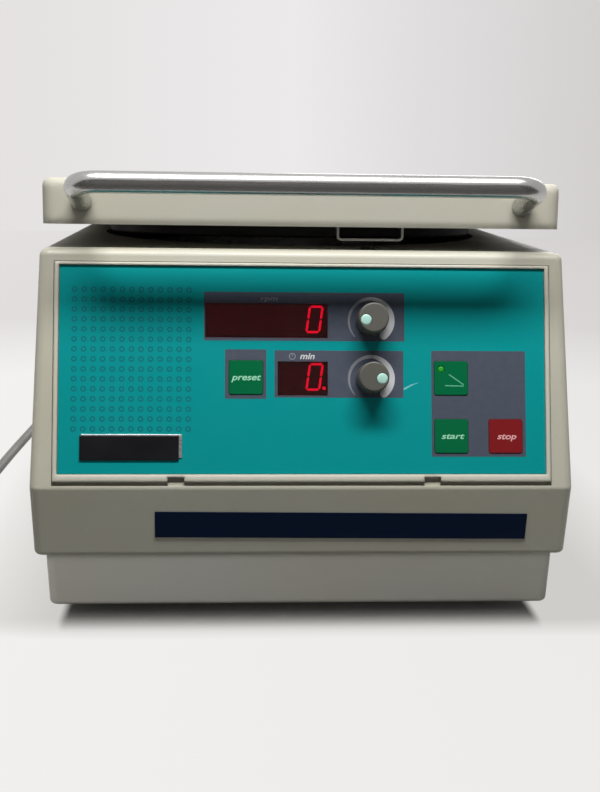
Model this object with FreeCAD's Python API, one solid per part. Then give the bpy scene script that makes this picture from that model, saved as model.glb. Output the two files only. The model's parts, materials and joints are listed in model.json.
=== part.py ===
import FreeCAD, Part
import math
import os

# Benchtop centrifuge with its lid ajar, in millimetres, +Z up, front towards -Y.
# It is drawn with the rotor's axis on x = 0, y = 0. Each part is moved along Y as it is saved,
# so that the origin lies on the table, under the middle of the object's box.

V = FreeCAD.Vector
X_AXIS = V(1, 0, 0)
Y_AXIS = V(0, 1, 0)
Z_AXIS = V(0, 0, 1)

# Clearances
FIT = 0.3               # room at each side of a part that is set into another
RUN = 0.05              # radial room round a turning shaft or pin
SEAT = 0.02             # radial room in a hole that holds its part
PAST = 1.0              # how far a cutting tool runs past the face that it cuts

# Casing
BELT_W = 284.0
CHIN_TUCK = 0.7         # each side comes in by this much from belt to lower edge
TOP_TUCK = 3.7          # each side comes in by this much from belt to top
REAR_REACH = 165.0      # rotor axis to the rear wall
CHIN_SET_BACK = 6.0
REAR_LEAN = 2.0
CHIN_Z = 35.3
BELT_Z = 73.4
CASING_WALL = 3.0
FRONT_WALL = 5.0
CASING_CORNER = 5.0
TOP_ROUND = 4.0
BELT_ROUND = 4.0
BELT_STEPS = 4          # strips that make up the rounded belt
CHIN_ROUND = 2.6

# Front panel: u runs across, v up the face from the panel's lower edge, n out of the face
PANEL_TILT = 15.0
PANEL_SIDE = 12.0       # belt's side to the panel's side
PANEL_H = 114.5
PANEL_LOW = 3.5         # belt to the panel's lower edge, along the face
PANEL_ABOVE = 6.5       # panel's upper edge to the casing's top, along the face
GROOVE = 2.0            # dark groove under the panel
PANEL_PROUD = 0.9
PANEL_DEPTH = 2.5       # how deep the panel is set into the face
PANEL_ROUND = 0.7
OVERLAY_SIDE = 2.7
OVERLAY_LOW = 4.3
OVERLAY_ABOVE = 1.8
OVERLAY_T = 0.7
OVERLAY_N = -0.2        # front of the overlay
FACE_OPENING_EDGE = 8.0
NOTCH_W = 8.7
NOTCH_UP = 2.6
NOTCH_U = (-66.5, 67.2)

# Control board and what stands on it
BOARD_N = -16.0
BOARD_T = 1.6
BOARD_EDGE = 12.0
POST_R = 2.5
POST_IN = 3.0
WINDOW_LIP = 1.5
WINDOW_T = 1.0          # thickness of the lip behind the panel
SPEED_WINDOW = (-51.7, 12.2, 75.4, 93.3)
TIMER_WINDOW = (-13.8, 12.2, 45.2, 62.8)
MODULE_GAP = 1.0        # display module to window
MODULE_IN = 1.4
KEY_W = 17.7
KEY_GAP = 0.2
KEY_CORNER = 1.2
KEY_PROUD = 0.4         # key above the overlay
KEY_TRAVEL = 0.5
KEY_FLANGE = 1.0
KEY_FLANGE_T = 1.2
KEY_STEM_R = 2.0
SWITCH_W = 6.0
SWITCH_H = 3.8
SWITCH_TIP_R = 1.7
SWITCH_TIP_H = 1.0
PRESET_KEY = (-30.5, 54.5)
KEYPAD_RIGHT_U = 23.9   # panel's right side to the middle of the stop key
KEYPAD_STEP = 28.8
KEYPAD_LOW_V = 24.0
KEYPAD_HIGH_V = 54.5
LAMP_R = 1.5
LAMP_BASE_R = 1.9
LAMP_BASE_H = 1.4
LAMP_OUT = 0.3          # lamp above the key's face
LAMP_FROM_KEY = (-5.2, 4.7)
SPEED_KNOB = (35.2, 84.7)
TIMER_KNOB = (35.2, 54.1)
KNOB_R = 8.2
KNOB_TAPER = 0.4
KNOB_N = 0.3            # underside of the knob above the overlay
KNOB_H = 13.6
KNOB_ROUND = 1.0
KNOB_SOCKET = 9.0
DOT_R = 2.9
DOT_DEEP = 1.0
SPEED_DOT = (-4.1, -1.3)
TIMER_DOT = (4.1, -1.1)
KNOB_SHAFT_R = 3.0
POT_R = 8.5
POT_H = 6.0
POT_NECK_R = 4.4
POT_FLOOR = 1.0

# Base tray and feet
FOOT_H = 5.4
FOOT_R = 10.0
FOOT_TOP_R = 9.0
FOOT_STEM_R = 3.0
FOOT_IN_X = 24.4
FOOT_IN_Y = 29.0
BASE_INSET = 5.0        # casing's lower edge to the tray's side
BASE_LAP = 3.0          # how far the tray's rim goes up inside the casing
BASE_DRAFT = 1.4
BASE_WALL = 3.0
BASE_CORNER = 5.0
BASE_ROUND = 2.5
LEDGE_T = 3.0
LEDGE_REACH = 3.4       # how far the casing's ledge stands in past the tray's wall
SCREW_IN = 12.4
SCREW_R = 2.0
SCREW_HEAD_R = 3.6
SCREW_HEAD_H = 3.0
SCREW_SHANK = 20.0
SCREW_BITE = 10.0       # length of the shank in the casing's pad
TRAY_BOSS_R = 6.0
PAD_W = 18.0
PAD_H = 12.0
FLOOR_SLOTS = 7
FLOOR_SLOT_PITCH = 13.0
FLOOR_SLOT_W = 5.0
FLOOR_SLOT_L = 70.0

# Rotor chamber
RECESS_DEPTH = 9.0
DISC_R = 115.5          # seal disc under the lid
DISC_H = 7.0
DISC_ROOM = 3.0         # seal disc to the wall of the recess
DISC_LAND = 14.0
DISC_DISH = 2.5
DISC_EDGE = 1.0
BOWL_IN = 18.5          # seal disc's rim to the bowl's wall
BOWL_WALL = 1.0
BOWL_DEPTH = 73.0
BOWL_ROOM = 2.0
BOWL_FLANGE = 11.0
BOWL_HOLE_R = 20.0
BOWL_CORNER = 12.0
SEAL_IN = 3.0
SEAL_W = 8.0
SEAL_CLEAR = 0.3        # bowl seal to the seal disc with the lid shut
ARMOUR_ROOM = 5.0
ARMOUR_T = 3.0
ARMOUR_HEAD = 3.0       # armour ring to the underside of the recess
CHASSIS_DROP = 8.0      # bowl's underside to the chassis plate
CHASSIS_T = 3.0
CHASSIS_EDGE = 6.0      # chassis plate past the armour ring
CHASSIS_HOLE_R = 30.0
CHASSIS_CORNER = 12.0
PILLAR_R = 6.0
PILLAR_AT = 80.0

# Drive
MOUNT_R = 8.0
MOUNT_H = 8.0
MOUNT_PCR = 48.0
FLANGE_R = 60.0
FLANGE_T = 4.0
MOTOR_R = 40.0
MOTOR_WALL = 2.0
MOTOR_ABOVE_FLOOR = 16.0
SHAFT_R = 5.0
BEARING_R = 11.0
BEARING_W = 7.0
BEARING_WALL = 3.0
STATOR_IN_R = 25.0
AIR_GAP = 1.5
STATOR_MARGIN = 12.0
FAN_R = 34.0
FAN_H = 8.0
FAN_GAP = 2.0
FAN_HUB_R = 10.0
FAN_BLADES = 9
FAN_BLADE_T = 1.6
ROTOR_GAP = 5.0         # rotor to the bowl's wall
ROTOR_LIFT = 5.0        # rotor to the bowl's floor
ROTOR_H = 52.0
ROTOR_CONE = 14.0
ROTOR_RIM = 8.0
ROTOR_HUB_R = 24.0
ROTOR_HUB_H = 6.0
ROTOR_DISH = 26.0
ROTOR_NOSE_R = 22.0
ROTOR_NOSE_H = 6.0
TUBE_HOLES = 24
TUBE_HOLE_R = 5.3
TUBE_DEPTH = 34.0
NUT_R = 12.0
NUT_H = 10.0
COVER_T = 2.0
COVER_LIP = 6.0
COVER_KNOB_R = 9.0

# Lid, drawn shut and then turned open about its hinge
AJAR = 2.1
LID_SIDE = 4.4          # belt's side to the lid's side
LID_FRONT_IN = 7.85     # casing's top front edge to the lid's front
LID_GAP = 1.5           # lid to casing with the lid shut
LID_H = 24.0
LID_WALL = 3.0
LID_CORNER = 6.0
LID_ROUND = 4.0
LID_TAIL = 4.0          # lid behind the hinge axis
INNER_PLATE_T = 1.5
LID_BOSS_R = 5.0
LID_BOSS_SIDE = 36.5    # lid's side to the middle of a boss
LID_BOSS_FRONT = 22.0   # lid's front to the middle of a boss
LID_BOSS_REAR = 36.0    # lid's rear to the middle of a boss
HINGE_IN = 15.0         # rear wall to the hinge axis
HINGE_UP = 10.5         # lid's underside to the hinge axis
HINGE_SIDE = 51.5       # lid's side to the middle of a hinge block
BLOCK_W = 24.0
BLOCK_R = 7.0
BLOCK_ROOM = 1.0
POCKET_AHEAD = 14.0
EAR_T = 3.0
HINGE_PIN_R = 3.0
HANDLE_R = 5.5
HANDLE_SIDE = 21.0      # lid's side to the middle of the handle's foot
HANDLE_OUT = 38.5
HANDLE_RISE = 9.6
HANDLE_BEND = 12.0
HANDLE_UP = 11.9        # lid's underside to the foot of the handle
HANDLE_SCREW_R = 2.5
HANDLE_SCREW_HEAD_R = 4.5
HANDLE_SCREW_HEAD_H = 3.5
HANDLE_SCREW_BITE = 7.0

# Latch
STRIKER_X = 36.4
STRIKER_W = 36.1
STRIKER_IN = 13.0       # lid's front to the middle of the striker
STRIKER_AHEAD = 15.5    # wall of the recess to the middle of the striker
STRIKER_D = 10.0
STRIKER_DROP = 7.5
STRIKER_T = 1.2
STRIKER_BEND = 2.6
SLOT_ROOM = 2.4
HOOK_T = 4.0
HOOK_SWING = 12.0
HOOK_BEHIND = 10.0      # striker's middle to the hook's pivot
HOOK_DOWN = 31.0        # casing's top to the hook's pivot
HOOK_ARM = 5.0
HOOK_HUB_R = 6.0
HOOK_ROOM = 1.0
NOSE_CLEAR = 0.4
LATCH_PIN_R = 2.0
BRACKET_T = 2.0
BRACKET_IN = 6.0        # middle of the hook to the inner face of a bracket plate
BRACKET_SIDE_CLEAR = 0.2
BRACKET_D = 8.5
BRACKET_FOOT = 6.0
BRACKET_DEEP = 43.0     # casing's top to the top of the bracket's shelf
TAIL_REACH = 14.0
TAIL_H = 8.0
TAIL_END = 3.5
FORK_PIN_R = 1.5
FORK_CLEAR = 0.4
FORK_SLIDE = 0.76       # room for the fork's pin along the hook's slot, at each end
FORK_T = 2.0
FORK_D = 8.0
FORK_UP = 2.0
PLUNGER_R = 3.5
PLUNGER_LEN = 24.0
PLUNGER_ROOM = 0.1
SOLENOID_W = 22.0
SOLENOID_D = 16.0
SOLENOID_H = 30.0
LID_SWITCH_W = 6.5
LID_SWITCH_D = 12.0
LID_SWITCH_H = 14.0

# Rear fittings
REAR_Z = 58.0
INLET_X = -62.0
INLET_W = 27.0
INLET_H = 20.0
INLET_FLANGE = 3.5
INLET_FLANGE_T = 1.6
INLET_DEEP = 18.0
INLET_WALL = 1.5
SWITCH_X = -18.0
ROCKER_W = 13.0
ROCKER_H = 20.0
ROCKER_D = 16.0
ROCKER_OUT = 2.4
ROCKER_PIVOT = 8.0      # rear wall to the rocker's pin
ROCKER_PIN_R = 1.5
ROCKER_TIP = 7.0
ROCKER_SIDE = 0.5
ROCKER_ENDS = 2.0
SWITCH_WALL = 1.5
SWITCH_FLANGE = 3.0
SWITCH_FLANGE_T = 1.6
SWITCH_DEEP = 19.0
FUSE_X = 14.0
FUSE_R = 6.0
FUSE_CAP_R = 7.5
FUSE_CAP = 8.0
FUSE_DEEP = 25.0
VENTS = 11
VENT_X = 45.0
VENT_PITCH = 7.0
VENT_W = 3.6
VENT_Z = 62.0
VENT_H = 60.0

# Power supply
CORE_W = 38.0
CORE_L = 76.0
CORE_H = 56.0
CORE_IN = 4.0
COIL_FORMER_OUT = 6.0
SUPPLY_W = 36.0
SUPPLY_L = 110.0
SUPPLY_T = 1.6
SUPPLY_UP = 8.0
SUPPLY_POST_R = 3.0
CAPACITOR_R = 9.0
CAPACITOR_H = 28.0
CAPACITOR_PITCH = 22.5
SINK_T = 5.0
SINK_L = 60.0
SINK_H = 24.0

# Mains lead
CORD_D = 6.8
PLUG_W = 26.0
CONNECTOR_W = 24.0
CONNECTOR_H = 18.0
CONNECTOR_L = 32.0
CONNECTOR_NOSE_GAP = 1.0
RELIEF_L = 28.0
RELIEF_R = 6.0
RELIEF_TIP_R = 4.3
PLUG_L = 38.0
PIN_L = 18.0
PIN_GAP = 12.7
BLADE_W = 6.3
BLADE_T = 1.5
BLADE_UP = 2.0
EARTH_R = 2.4
EARTH_DROP = 6.0
CORD_ARC = 0.45         # part of the shorter run that each bend takes up
COIL_TURNS = 2.5        # turns in each of the two layers
COIL_MEAN_R = 40.5
COIL_PITCH = 7.3
COIL_RISE = 7.4         # from one layer to the next
COIL_TAIL = 46.0
TIE_T = 1.0
TIE_W = 12.0
TIE_ROOM = 1.0
TIE_UNDER = 0.2         # tie to the coil's underside
TIE_TURN = 0.36         # where the tie holds the coil, as a part of a turn

# Casing and panel, worked out
TILT = math.radians(PANEL_TILT)
FACE_H = PANEL_LOW + PANEL_H + PANEL_ABOVE
TOP_Z = BELT_Z + FACE_H * math.cos(TILT)
RECESS_R = DISC_R + DISC_ROOM
STRIKER_Y = -(RECESS_R + CASING_WALL + STRIKER_AHEAD)
LID_FRONT = STRIKER_Y - STRIKER_IN
TOP_FRONT = LID_FRONT - LID_FRONT_IN
FRONT_REACH = FACE_H * math.sin(TILT) - TOP_FRONT
TOP_UNDER = TOP_Z - CASING_WALL
PANEL_HALF_W = BELT_W / 2 - PANEL_SIDE
PANEL_ORIGIN = V(0, -FRONT_REACH + PANEL_LOW * math.sin(TILT), BELT_Z + PANEL_LOW * math.cos(TILT))
PANEL_PLACE = FreeCAD.Placement(PANEL_ORIGIN, FreeCAD.Rotation(X_AXIS, 90 - PANEL_TILT))
PANEL_BACK = -PANEL_DEPTH
OVERLAY_BACK = OVERLAY_N - OVERLAY_T
BOARD_FRONT = BOARD_N + BOARD_T
BOARD_HALF_W = PANEL_HALF_W - BOARD_EDGE
BOARD_LOW = FACE_OPENING_EDGE
BOARD_HIGH = PANEL_H - FACE_OPENING_EDGE
KEY_TOP = OVERLAY_N + KEY_PROUD
SWITCH_TOP = BOARD_FRONT + SWITCH_H + SWITCH_TIP_H
KNOB_UNDER = OVERLAY_N + KNOB_N
POT_BORE = BOARD_FRONT + POT_FLOOR
STOP_U = PANEL_HALF_W - KEYPAD_RIGHT_U
START_U = STOP_U - KEYPAD_STEP
KEYS = {
    "preset_key": PRESET_KEY,
    "lid_key": (START_U, KEYPAD_HIGH_V),
    "start_key": (START_U, KEYPAD_LOW_V),
    "stop_key": (STOP_U, KEYPAD_LOW_V),
}
LAMP_AT = (START_U + LAMP_FROM_KEY[0], KEYPAD_HIGH_V + LAMP_FROM_KEY[1])

# Base, worked out
BASE_RIM_Z = CHIN_Z + BASE_LAP
BASE_FLOOR_Z = FOOT_H + BASE_WALL
BASE_HALF_W = BELT_W / 2 - CHIN_TUCK - BASE_INSET
BASE_FRONT = -FRONT_REACH + CHIN_SET_BACK + BASE_INSET
BASE_REAR = REAR_REACH - BASE_INSET
SCREW_SPOTS = [
    (side * (BASE_HALF_W - SCREW_IN), y)
    for side in (-1, 1)
    for y in (BASE_FRONT + SCREW_IN, BASE_REAR - SCREW_IN)
]
FOOT_SPOTS = [
    (side * (BASE_HALF_W - FOOT_IN_X), y)
    for side in (-1, 1)
    for y in (BASE_FRONT + FOOT_IN_Y, BASE_REAR - FOOT_IN_Y)
]
SCREW_HEAD_Z = BASE_RIM_Z + SCREW_BITE - SCREW_SHANK

# Chamber and drive, worked out
RECESS_Z = TOP_Z - RECESS_DEPTH
RECESS_UNDER = RECESS_Z - CASING_WALL
LID_Z = TOP_Z + LID_GAP
DISC_Z = LID_Z - DISC_H
BOWL_R = DISC_R - BOWL_IN
BOWL_OUT_R = BOWL_R + BOWL_WALL
BOWL_UNDER = RECESS_Z - BOWL_DEPTH
BOWL_FLOOR = BOWL_UNDER + BOWL_WALL
FLANGE_TOP = RECESS_Z + BOWL_WALL
CHASSIS_TOP = BOWL_UNDER - CHASSIS_DROP
CHASSIS_Z = CHASSIS_TOP - CHASSIS_T
ARMOUR_R = BOWL_OUT_R + ARMOUR_ROOM
CHASSIS_HALF = ARMOUR_R + ARMOUR_T + CHASSIS_EDGE
MOTOR_TOP = CHASSIS_Z - MOUNT_H - FLANGE_T
MOTOR_Z = BASE_FLOOR_Z + MOTOR_ABOVE_FLOOR
MOTOR_FLOOR = MOTOR_Z + MOTOR_WALL
MOTOR_IN_R = MOTOR_R - MOTOR_WALL
BEARING_SEAT_R = BEARING_R + BEARING_WALL
STATOR_Z = MOTOR_FLOOR + STATOR_MARGIN
STATOR_TOP = MOTOR_TOP - STATOR_MARGIN
FAN_TOP = MOTOR_Z - FAN_GAP
SHAFT_Z = FAN_TOP - FAN_H
ROTOR_R = BOWL_R - ROTOR_GAP
ROTOR_Z = BOWL_FLOOR + ROTOR_LIFT
ROTOR_TOP = ROTOR_Z + ROTOR_H
ROTOR_DISH_Z = ROTOR_TOP - ROTOR_DISH
NOSE_TOP_Z = ROTOR_DISH_Z + ROTOR_NOSE_H
SHAFT_TOP = NOSE_TOP_Z + NUT_H

# Lid and latch, worked out
LID_TOP = LID_Z + LID_H
LID_HALF_W = BELT_W / 2 - LID_SIDE
HINGE_Y = REAR_REACH - HINGE_IN
HINGE_Z = LID_Z + HINGE_UP
HINGE_AT = V(0, HINGE_Y, HINGE_Z)
HINGE_X = LID_HALF_W - HINGE_SIDE
LID_REAR = HINGE_Y + LID_TAIL
LID_BOSS_X = LID_HALF_W - LID_BOSS_SIDE
LID_BOSS_Y = (LID_FRONT + LID_BOSS_FRONT, LID_REAR - LID_BOSS_REAR)
POCKET_HALF = BLOCK_W / 2 + BLOCK_ROOM
EAR_HALF = POCKET_HALF + EAR_T
POCKET_Y = HINGE_Y - POCKET_AHEAD
HANDLE_AT = LID_HALF_W - HANDLE_SIDE
HANDLE_Z = LID_Z + HANDLE_UP
STRIKER_Z = LID_Z - STRIKER_DROP
PIVOT_Y = STRIKER_Y + HOOK_BEHIND
PIVOT_Z = TOP_Z - HOOK_DOWN
PIVOT = V(STRIKER_X, PIVOT_Y, PIVOT_Z)
HOOK_REST_LEAN = HOOK_DOWN * math.tan(math.radians(HOOK_SWING))
PLUNGER_Y = PIVOT_Y + TAIL_REACH
SHELF_TOP = TOP_Z - BRACKET_DEEP
SHELF_Z = SHELF_TOP - BRACKET_T
BRACKET_FRONT = STRIKER_Y + STRIKER_D / 2 + HOOK_ROOM
BRACKET_REAR = BRACKET_FRONT + BRACKET_D

# Rear fittings and lead, worked out
SWITCH_HALF_W = ROCKER_W / 2 + ROCKER_SIDE + SWITCH_WALL
SWITCH_HALF_H = ROCKER_H / 2 + ROCKER_ENDS + SWITCH_WALL
CONNECTOR_REAR = REAR_REACH + INLET_FLANGE_T + CONNECTOR_L
CORD_START = CONNECTOR_REAR + RELIEF_L
CORD_R = CORD_D / 2
COIL_R_IN = COIL_MEAN_R - COIL_PITCH * COIL_TURNS / 2
COIL_R_OUT = COIL_MEAN_R + COIL_PITCH * COIL_TURNS / 2
COIL_Z = TIE_T + TIE_UNDER + CORD_R
COIL_TOP_Z = COIL_Z + COIL_RISE

# Middle of the lead, from the connector round behind the object and forward along its left side to the coil
CORD_ROUTE = [
    V(INLET_X, CORD_START, REAR_Z),
    V(INLET_X, 266, REAR_Z),
    V(-90, 300, 54),
    V(-136, 304, 49),
    V(-174, 277, 44),
    V(-194, 234, 38.5),
    V(-205.5, 175, 31.5),
    V(-214.4, 111.6, 24.5),
    V(-220.9, 50, 17.5),
    V(-223.5, 0, 10),
    V(-224.3, -46, COIL_Z),
    V(-224.3, -86, COIL_Z),
]
COIL_MIDDLE = CORD_ROUTE[-1] + V(-COIL_R_OUT, -CORD_D, 0)

# The object's reach along Y with the lid ajar, and the shift that puts the origin in its middle
BAR_FROM_HINGE = (LID_FRONT - HANDLE_OUT - HINGE_Y, HANDLE_Z + HANDLE_RISE - HINGE_Z)
AJAR_RAD = math.radians(AJAR)
BAR_Y = HINGE_Y + BAR_FROM_HINGE[0] * math.cos(AJAR_RAD) + BAR_FROM_HINGE[1] * math.sin(AJAR_RAD)
FRONT_MOST = min(BAR_Y - HANDLE_R, -FRONT_REACH)
REAR_MOST = REAR_REACH + FUSE_CAP
SHIFT_Y = -(FRONT_MOST + REAR_MOST) / 2

nodes = {}


# Shape helpers

def box(x0, x1, y0, y1, z0, z1):
    return Part.makeBox(x1 - x0, y1 - y0, z1 - z0, V(x0, y0, z0))


def cylinder(radius, z0, z1, x=0.0, y=0.0):
    return Part.makeCylinder(radius, z1 - z0, V(x, y, z0))


def cylinder_x(radius, x0, x1, y, z):
    return Part.makeCylinder(radius, x1 - x0, V(x0, y, z), X_AXIS)


def cylinder_y(radius, y0, y1, x, z):
    return Part.makeCylinder(radius, y1 - y0, V(x, y0, z), Y_AXIS)


def ring(r_in, r_out, z0, z1):
    return cylinder(r_out, z0, z1).cut(cylinder(r_in, z0 - PAST, z1 + PAST))


def fuse(first, *others):
    return first.fuse(list(others)).removeSplitter()


def turned(profile):
    """Solid of revolution about Z from (radius, height) points."""
    points = [V(r, 0, z) for r, z in profile]
    face = Part.Face(Part.makePolygon(points + points[:1]))
    return face.revolve(V(0, 0, 0), Z_AXIS, 360)


def side_prism(profile, x0, x1):
    """Prism along X from (y, z) points."""
    points = [V(x0, y, z) for y, z in profile]
    face = Part.Face(Part.makePolygon(points + points[:1]))
    return face.extrude(V(x1 - x0, 0, 0))


def outline(x0, x1, y0, y1, z, radius):
    """Closed rectangle with round corners, level at height z."""
    bow = radius * (1 - math.sqrt(0.5))
    edges = [
        Part.LineSegment(V(x0 + radius, y0, z), V(x1 - radius, y0, z)),
        Part.Arc(V(x1 - radius, y0, z), V(x1 - bow, y0 + bow, z), V(x1, y0 + radius, z)),
        Part.LineSegment(V(x1, y0 + radius, z), V(x1, y1 - radius, z)),
        Part.Arc(V(x1, y1 - radius, z), V(x1 - bow, y1 - bow, z), V(x1 - radius, y1, z)),
        Part.LineSegment(V(x1 - radius, y1, z), V(x0 + radius, y1, z)),
        Part.Arc(V(x0 + radius, y1, z), V(x0 + bow, y1 - bow, z), V(x0, y1 - radius, z)),
        Part.LineSegment(V(x0, y1 - radius, z), V(x0, y0 + radius, z)),
        Part.Arc(V(x0, y0 + radius, z), V(x0 + bow, y0 + bow, z), V(x0 + radius, y0, z)),
    ]
    return Part.Wire([edge.toShape() for edge in edges])


def slab(x0, x1, y0, y1, z0, z1, radius):
    face = Part.Face(outline(x0, x1, y0, y1, z0, radius))
    return face.extrude(V(0, 0, z1 - z0))


def stack(wires):
    """Solid with straight sides through level outlines."""
    return Part.makeLoft(wires, True, True)


def edges_at_height(shape, z):
    found = []
    for edge in shape.Edges:
        if abs(edge.BoundBox.ZMin - z) < 1e-4 and abs(edge.BoundBox.ZMax - z) < 1e-4:
            found.append(edge)
    return found


def on_panel(shape):
    placed = shape.copy()
    placed.Placement = PANEL_PLACE.multiply(placed.Placement)
    return placed


def ajar(shape):
    placed = shape.copy()
    placed.rotate(HINGE_AT, X_AXIS, -AJAR)
    return placed


def keep(name, *solids):
    nodes[name] = Part.Compound(list(solids)) if len(solids) > 1 else solids[0]


# Casing

def casing_section(z):
    """Half width, front and rear of the casing's outside at height z."""
    if z <= BELT_Z:
        share = (z - CHIN_Z) / (BELT_Z - CHIN_Z)
        half = BELT_W / 2 - CHIN_TUCK * (1 - share)
        return half, -FRONT_REACH + CHIN_SET_BACK * (1 - share), REAR_REACH
    share = (z - BELT_Z) / (TOP_Z - BELT_Z)
    front = -FRONT_REACH + (TOP_FRONT + FRONT_REACH) * share
    return BELT_W / 2 - TOP_TUCK * share, front, REAR_REACH - REAR_LEAN * share


def casing_outline(z, side=0.0, front=0.0, corner=CASING_CORNER):
    half, y_front, y_rear = casing_section(z)
    return outline(side - half, half - side, y_front + front, y_rear - side, z, corner)


def belt_levels():
    """Heights and fronts of the outside where the chin rounds over into the panel's face."""
    lean = math.atan2(CHIN_SET_BACK, BELT_Z - CHIN_Z)
    run = BELT_ROUND * math.tan((lean + TILT) / 2)
    y = -FRONT_REACH + run * math.sin(lean) + BELT_ROUND * math.cos(lean)
    z = BELT_Z - run * math.cos(lean) + BELT_ROUND * math.sin(lean)
    angles = [i / BELT_STEPS * (lean + TILT) - lean for i in range(BELT_STEPS + 1)]
    return [(z + BELT_ROUND * math.sin(a), y - BELT_ROUND * math.cos(a)) for a in angles]


def casing_body():
    belt = [casing_outline(z, front=y - casing_section(z)[1]) for z, y in belt_levels()]
    outer = stack([casing_outline(CHIN_Z)] + belt + [casing_outline(TOP_Z)])
    outer = outer.makeFillet(TOP_ROUND, edges_at_height(outer, TOP_Z))
    outer = outer.makeFillet(CHIN_ROUND, edges_at_height(outer, CHIN_Z))
    inner_corner = CASING_CORNER - CASING_WALL
    inner_levels = (CHIN_Z - PAST, BELT_Z, TOP_UNDER)
    inner = stack([casing_outline(z, CASING_WALL, FRONT_WALL, inner_corner) for z in inner_levels])
    return outer.cut(inner)


def casing_ledge():
    """Ring inside the casing that rests on the tray's rim, with a pad for each screw."""
    reach = BASE_WALL + LEDGE_REACH
    lap = CASING_WALL / 2
    levels = (BASE_RIM_Z, BASE_RIM_Z + LEDGE_T)
    plate = stack([casing_outline(z, lap, lap, CASING_CORNER) for z in levels])
    half = BASE_HALF_W - reach
    inside = slab(-half, half, BASE_FRONT + reach, BASE_REAR - reach, BASE_RIM_Z - PAST,
                  BASE_RIM_Z + LEDGE_T + PAST, BASE_CORNER)
    pads = []
    pad = PAD_W / 2
    for x, y in SCREW_SPOTS:
        pads.append(box(x - pad, x + pad, y - pad, y + pad, BASE_RIM_Z, BASE_RIM_Z + PAD_H))
    return plate.cut(inside).fuse(pads)


def panel_seat():
    """Cuts for the panel: the shallow pocket with its groove, and the opening behind it."""
    half = PANEL_HALF_W + FIT
    pocket = box(-half, half, -GROOVE, PANEL_H + FIT, PANEL_BACK, PANEL_PROUD + PAST)
    edge = FACE_OPENING_EDGE
    opening = box(edge - PANEL_HALF_W, PANEL_HALF_W - edge, edge - POST_IN, PANEL_H - edge + POST_IN,
                  -4 * FRONT_WALL, PANEL_PROUD)
    tabs = []
    for u in NOTCH_U:
        tabs.append(box(u - NOTCH_W / 2, u + NOTCH_W / 2, -GROOVE - FIT, -FIT, PANEL_BACK - FIT, -GROOVE / 2))
    return on_panel(pocket.cut(tabs[0].fuse(tabs[1]))), on_panel(opening)


def rear_cuts():
    wall = (REAR_REACH - 3 * CASING_WALL, REAR_REACH + PAST)
    cuts = [
        box(INLET_X - INLET_W / 2 - FIT, INLET_X + INLET_W / 2 + FIT, *wall,
            REAR_Z - INLET_H / 2 - FIT, REAR_Z + INLET_H / 2 + FIT),
        box(SWITCH_X - SWITCH_HALF_W - FIT, SWITCH_X + SWITCH_HALF_W + FIT, *wall,
            REAR_Z - SWITCH_HALF_H - FIT, REAR_Z + SWITCH_HALF_H + FIT),
        cylinder_y(FUSE_R + FIT, *wall, FUSE_X, REAR_Z),
    ]
    for i in range(VENTS):
        x = VENT_X + i * VENT_PITCH
        cuts.append(box(x - VENT_W / 2, x + VENT_W / 2, *wall, VENT_Z, VENT_Z + VENT_H))
    return cuts


def latch_slots():
    half = STRIKER_W / 2 + SLOT_ROOM
    deep = STRIKER_D / 2 + SLOT_ROOM
    z = (TOP_UNDER - PAST, TOP_Z + PAST)
    striker_slot = box(STRIKER_X - half, STRIKER_X + half, STRIKER_Y - deep, STRIKER_Y + deep, *z)
    hook_half = HOOK_T / 2 + HOOK_ROOM * 2
    hook_rear = PIVOT_Y + HOOK_ARM / 2 + HOOK_REST_LEAN
    hook_slot = box(STRIKER_X - hook_half, STRIKER_X + hook_half, STRIKER_Y, hook_rear, *z)
    return [striker_slot, hook_slot]


def make_casing():
    boss = cylinder(RECESS_R + CASING_WALL, RECESS_UNDER, TOP_UNDER + PAST)
    body = casing_body().fuse([casing_ledge(), boss])
    pocket, opening = panel_seat()
    cuts = [
        pocket,
        opening,
        cylinder(RECESS_R, RECESS_Z, TOP_Z + PAST),
        cylinder(BOWL_OUT_R + BOWL_ROOM, RECESS_UNDER - PAST, RECESS_Z + PAST),
    ]
    for x, y in SCREW_SPOTS:
        cuts.append(cylinder(SCREW_R + RUN, BASE_RIM_Z - PAST, BASE_RIM_Z + SCREW_BITE + PAST, x, y))
    cuts += rear_cuts() + latch_slots()
    keep("casing", body.cut(cuts).removeSplitter())


# Base tray, feet and screws

def tray_outline(z, inset, corner):
    share = (BASE_RIM_Z - z) / (BASE_RIM_Z - FOOT_H)
    side = inset + BASE_DRAFT * share
    return outline(side - BASE_HALF_W, BASE_HALF_W - side, BASE_FRONT + side, BASE_REAR - side, z, corner)


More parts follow.
